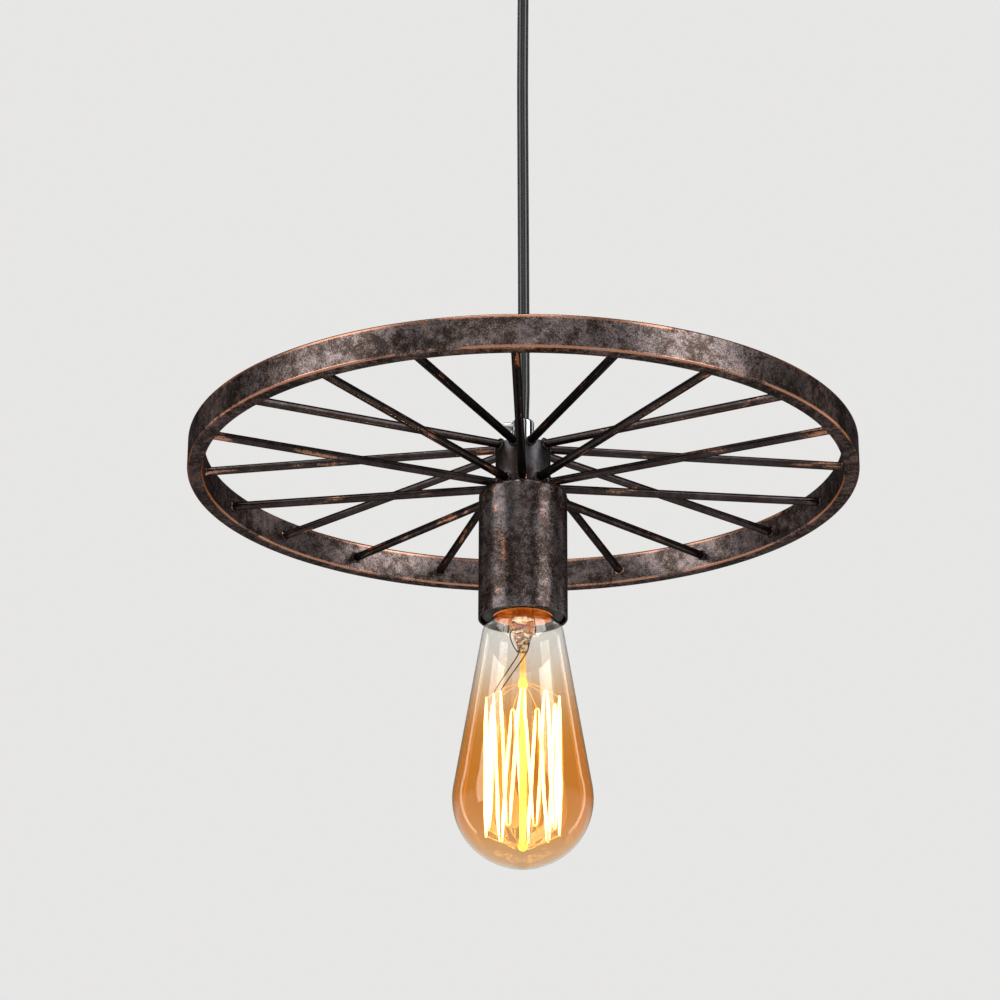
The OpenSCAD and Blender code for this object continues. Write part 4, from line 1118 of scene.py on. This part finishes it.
leadShape = {"size": 0.30, "bridge": 0.26, "pinch": 0.14, "under": 0.6, "pinchTop": -367.5, "pinchStep": 4.9}


def leadEnd(side):  # just under the cage's first or last hook
    turn = math.radians(cage["firstTurn"] + side * cage["endGap"])
    return (cage["radius"] * math.cos(turn), cage["radius"] * math.sin(turn), cage["top"] - leadShape["under"])


def pinchPath(x, y):  # straight down through the flare
    return [(x, y, leadShape["pinchTop"] - k * leadShape["pinchStep"]) for k in range(5)]


firstLead = bezier((-1.8, -1.4, -402.6), (-0.8, -0.6, -2.6), (3.2, 2.6, 7.5), leadEnd(-1), 14)
secondLead = bezier((2.6, -1.2, -399.6), (0.2, -0.6, -3.0), (3.8, 3.6, 8.2), leadEnd(1), 14)
bridge = bezier((-4.6, -1.0, -390.5), (-3.0, -0.5, -2.4), (-2.6, -0.4, 3.4), (-2.4, -1.3, -402.2), 12)
leadPaths = (
    ([(-1.6, -1.2, -399.6)] + firstLead, "size"), ([(2.3, -1.0, -396.6)] + secondLead, "size"),
    (bridge, "bridge"), (pinchPath(1.4, 0.3), "pinch"), (pinchPath(-1.4, -0.3), "pinch"),
)
leads = [tube(f"leadWire{number}", path, leadShape[kind], 10, [leadWire])
         for number, (path, kind) in enumerate(leadPaths, 1)]
chosen = {"selected_editable_objects": leads, "selected_objects": leads, "active_object": leads[0],
          "object": leads[0]}
with bpy.context.temp_override(**chosen):
    bpy.ops.object.join()
leads[0].name = "leadWires"
place(leads[0], "bulb", "support_wire", "bulb_lead_wires")
print("bulb made")

keptFinishes = {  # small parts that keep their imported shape
    "ceiling_bracket": bracketSteel, "canopy_screws": brightChrome, "terminal_block": blockNylon,
    "terminal_screws": zincSteel, "block_screw": zincSteel, "canopy_gland_nut": zincSteel,
    "threaded_tube": zincSteel, "toothed_washer": zincSteel, "hub_nut": zincSteel, "socket_cap": holderBlack,
    "socket_insert": holderCeramic, "socket_terminals": holderBrass, "socket_terminal_screws": zincSteel,
    "socket_contact": holderBrass,
}
for node, material in keptFinishes.items():
    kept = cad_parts[node]
    if not kept.material_slots:
        kept.data.materials.append(material)
    for materialSlot in kept.material_slots:
        materialSlot.material = material
print("small parts dressed")

stageLook = {
    "floorHeight": -2.4, "floorSize": 70.0, "pale": (0.80, 0.795, 0.785), "floorSeen": (0.92, 0.915, 0.90),
    "floorShare": 0.82, "worldLight": 0.30, "worldColour": (1.0, 0.995, 0.985), "worldSeen": (0.80, 0.795, 0.785),
    "ceiling": (0.06, 0.06, 0.062), "ceilingFrom": 0.04, "ceilingTo": 0.26,
}


def seenDirectly(recipe):  # 1 for what the camera, a gloss or a glass sees, 0 for the light that it gives
    kinds = ("Camera", "Glossy", "Transmission")
    rays = [recipe.node("ShaderNodeLightPath", None, None, f"Is {kind} Ray") for kind in kinds]
    return rays, rays[0].join("ADD", rays[0] + rays[1], rays[2], clamp=True)


def paleFloor():  # keeps its shadows, but never looks darker than the backdrop
    material, recipe = blankMaterial("stageFloor")
    share = seenDirectly(recipe)[1] * stageLook["floorShare"]
    painted = recipe.node("ShaderNodeBsdfPrincipled", None, {"Base Color": stageLook["pale"], "Roughness": 0.9})
    pale = recipe.node("ShaderNodeEmission", None, {"Color": stageLook["floorSeen"], "Strength": 1.0})
    both = recipe.node("ShaderNodeMixShader", None, {"Fac": share, "Shader": painted, "Shader_001": pale})
    recipe.node("ShaderNodeOutputMaterial", None, {"Surface": both}, None)
    return material


floorMesh = bpy.data.meshes.new("floor")
halfFloor = stageLook["floorSize"] / 2
floorCorners = ((-1, -1), (1, -1), (1, 1), (-1, 1))
floorPoints = [(x * halfFloor, y * halfFloor, stageLook["floorHeight"]) for x, y in floorCorners]
floorMesh.from_pydata(floorPoints, [], [(0, 1, 2, 3)])
floor = addObject("floor", floorMesh)
floorMesh.materials.append(paleFloor())

softboxes = {
    "leftBox": {"azimuth": -64, "elevation": 20, "distance": 1.9, "width": 1.05, "height": 2.3, "glow": 3.2},
    "rightBox": {"azimuth": 57, "elevation": 20, "distance": 1.9, "width": 0.9, "height": 2.3, "glow": 4.3},
    "frontBox": {"azimuth": -2, "elevation": 26, "distance": 1.9, "width": 1.3, "height": 1.2, "glow": 1.0},
    "topBox": {"azimuth": -8, "elevation": 62, "distance": 1.9, "width": 0.9, "height": 0.6, "glow": 6.0},
    "leftStrip": {"azimuth": -118, "elevation": 8, "distance": 2.0, "width": 0.24, "height": 3.2, "glow": 1.8},
    "rightStrip": {"azimuth": 120, "elevation": 8, "distance": 2.0, "width": 0.24, "height": 3.2, "glow": 1.8},
}
aim = Vector((0, 0, -0.36))
for name, box in softboxes.items():
    lamp = bpy.data.lights.new(name, "AREA")
    lamp.shape, lamp.size, lamp.size_y = "RECTANGLE", box["width"], box["height"]
    lamp.energy = box["glow"] * math.pi * box["width"] * box["height"]
    turn, climb = math.radians(box["azimuth"]), math.radians(box["elevation"])
    away = Vector((math.sin(turn) * math.cos(climb), -math.cos(turn) * math.cos(climb), math.sin(climb)))
    holder = addObject(name, lamp)
    holder.location = aim + away * box["distance"]
    holder.rotation_mode = "QUATERNION"
    holder.rotation_quaternion = away.to_track_quat("Z", "Y")
    holder.visible_camera = False

bulbGlow = {"height": -0.452, "radius": 0.034, "watts": 0.45, "colour": (1.0, 0.52, 0.20)}
ember = bpy.data.lights.new("bulbGlow", "POINT")
ember.energy, ember.color, ember.shadow_soft_size = bulbGlow["watts"], bulbGlow["colour"], bulbGlow["radius"]
glowSpot = addObject("bulbGlow", ember)
glowSpot.location = (0, 0, bulbGlow["height"])
glowSpot.parent = glass
glowSpot.visible_camera = glowSpot.visible_transmission = glowSpot.visible_glossy = False

world = bpy.data.worlds.new("studio")
world.use_nodes = True
world.node_tree.nodes.clear()
scene.world = world
air = Recipe(world.node_tree)
rays, anyRay = seenDirectly(air)
heading = air.split(air.node("ShaderNodeTexCoord", None, None, "Generated"))
overhead = heading[2].ease(stageLook["ceilingFrom"], stageLook["ceilingTo"])
overhead = overhead * rays[1] * (1 - rays[2])  # gloss sees the pale sweep below and a dim ceiling above
around = air.blend(overhead, stageLook["worldSeen"], stageLook["ceiling"])
sockets = {"Color": stageLook["worldColour"], "Strength": stageLook["worldLight"]}
light = air.node("ShaderNodeBackground", None, sockets)
seen = air.node("ShaderNodeBackground", None, {"Color": around, "Strength": 1.0})
both = air.node("ShaderNodeMixShader", None, {"Fac": anyRay, "Shader": light, "Shader_001": seen})
air.node("ShaderNodeOutputWorld", None, {"Surface": both}, None)
scene.view_settings.view_transform = "Standard"
print("stage lit")
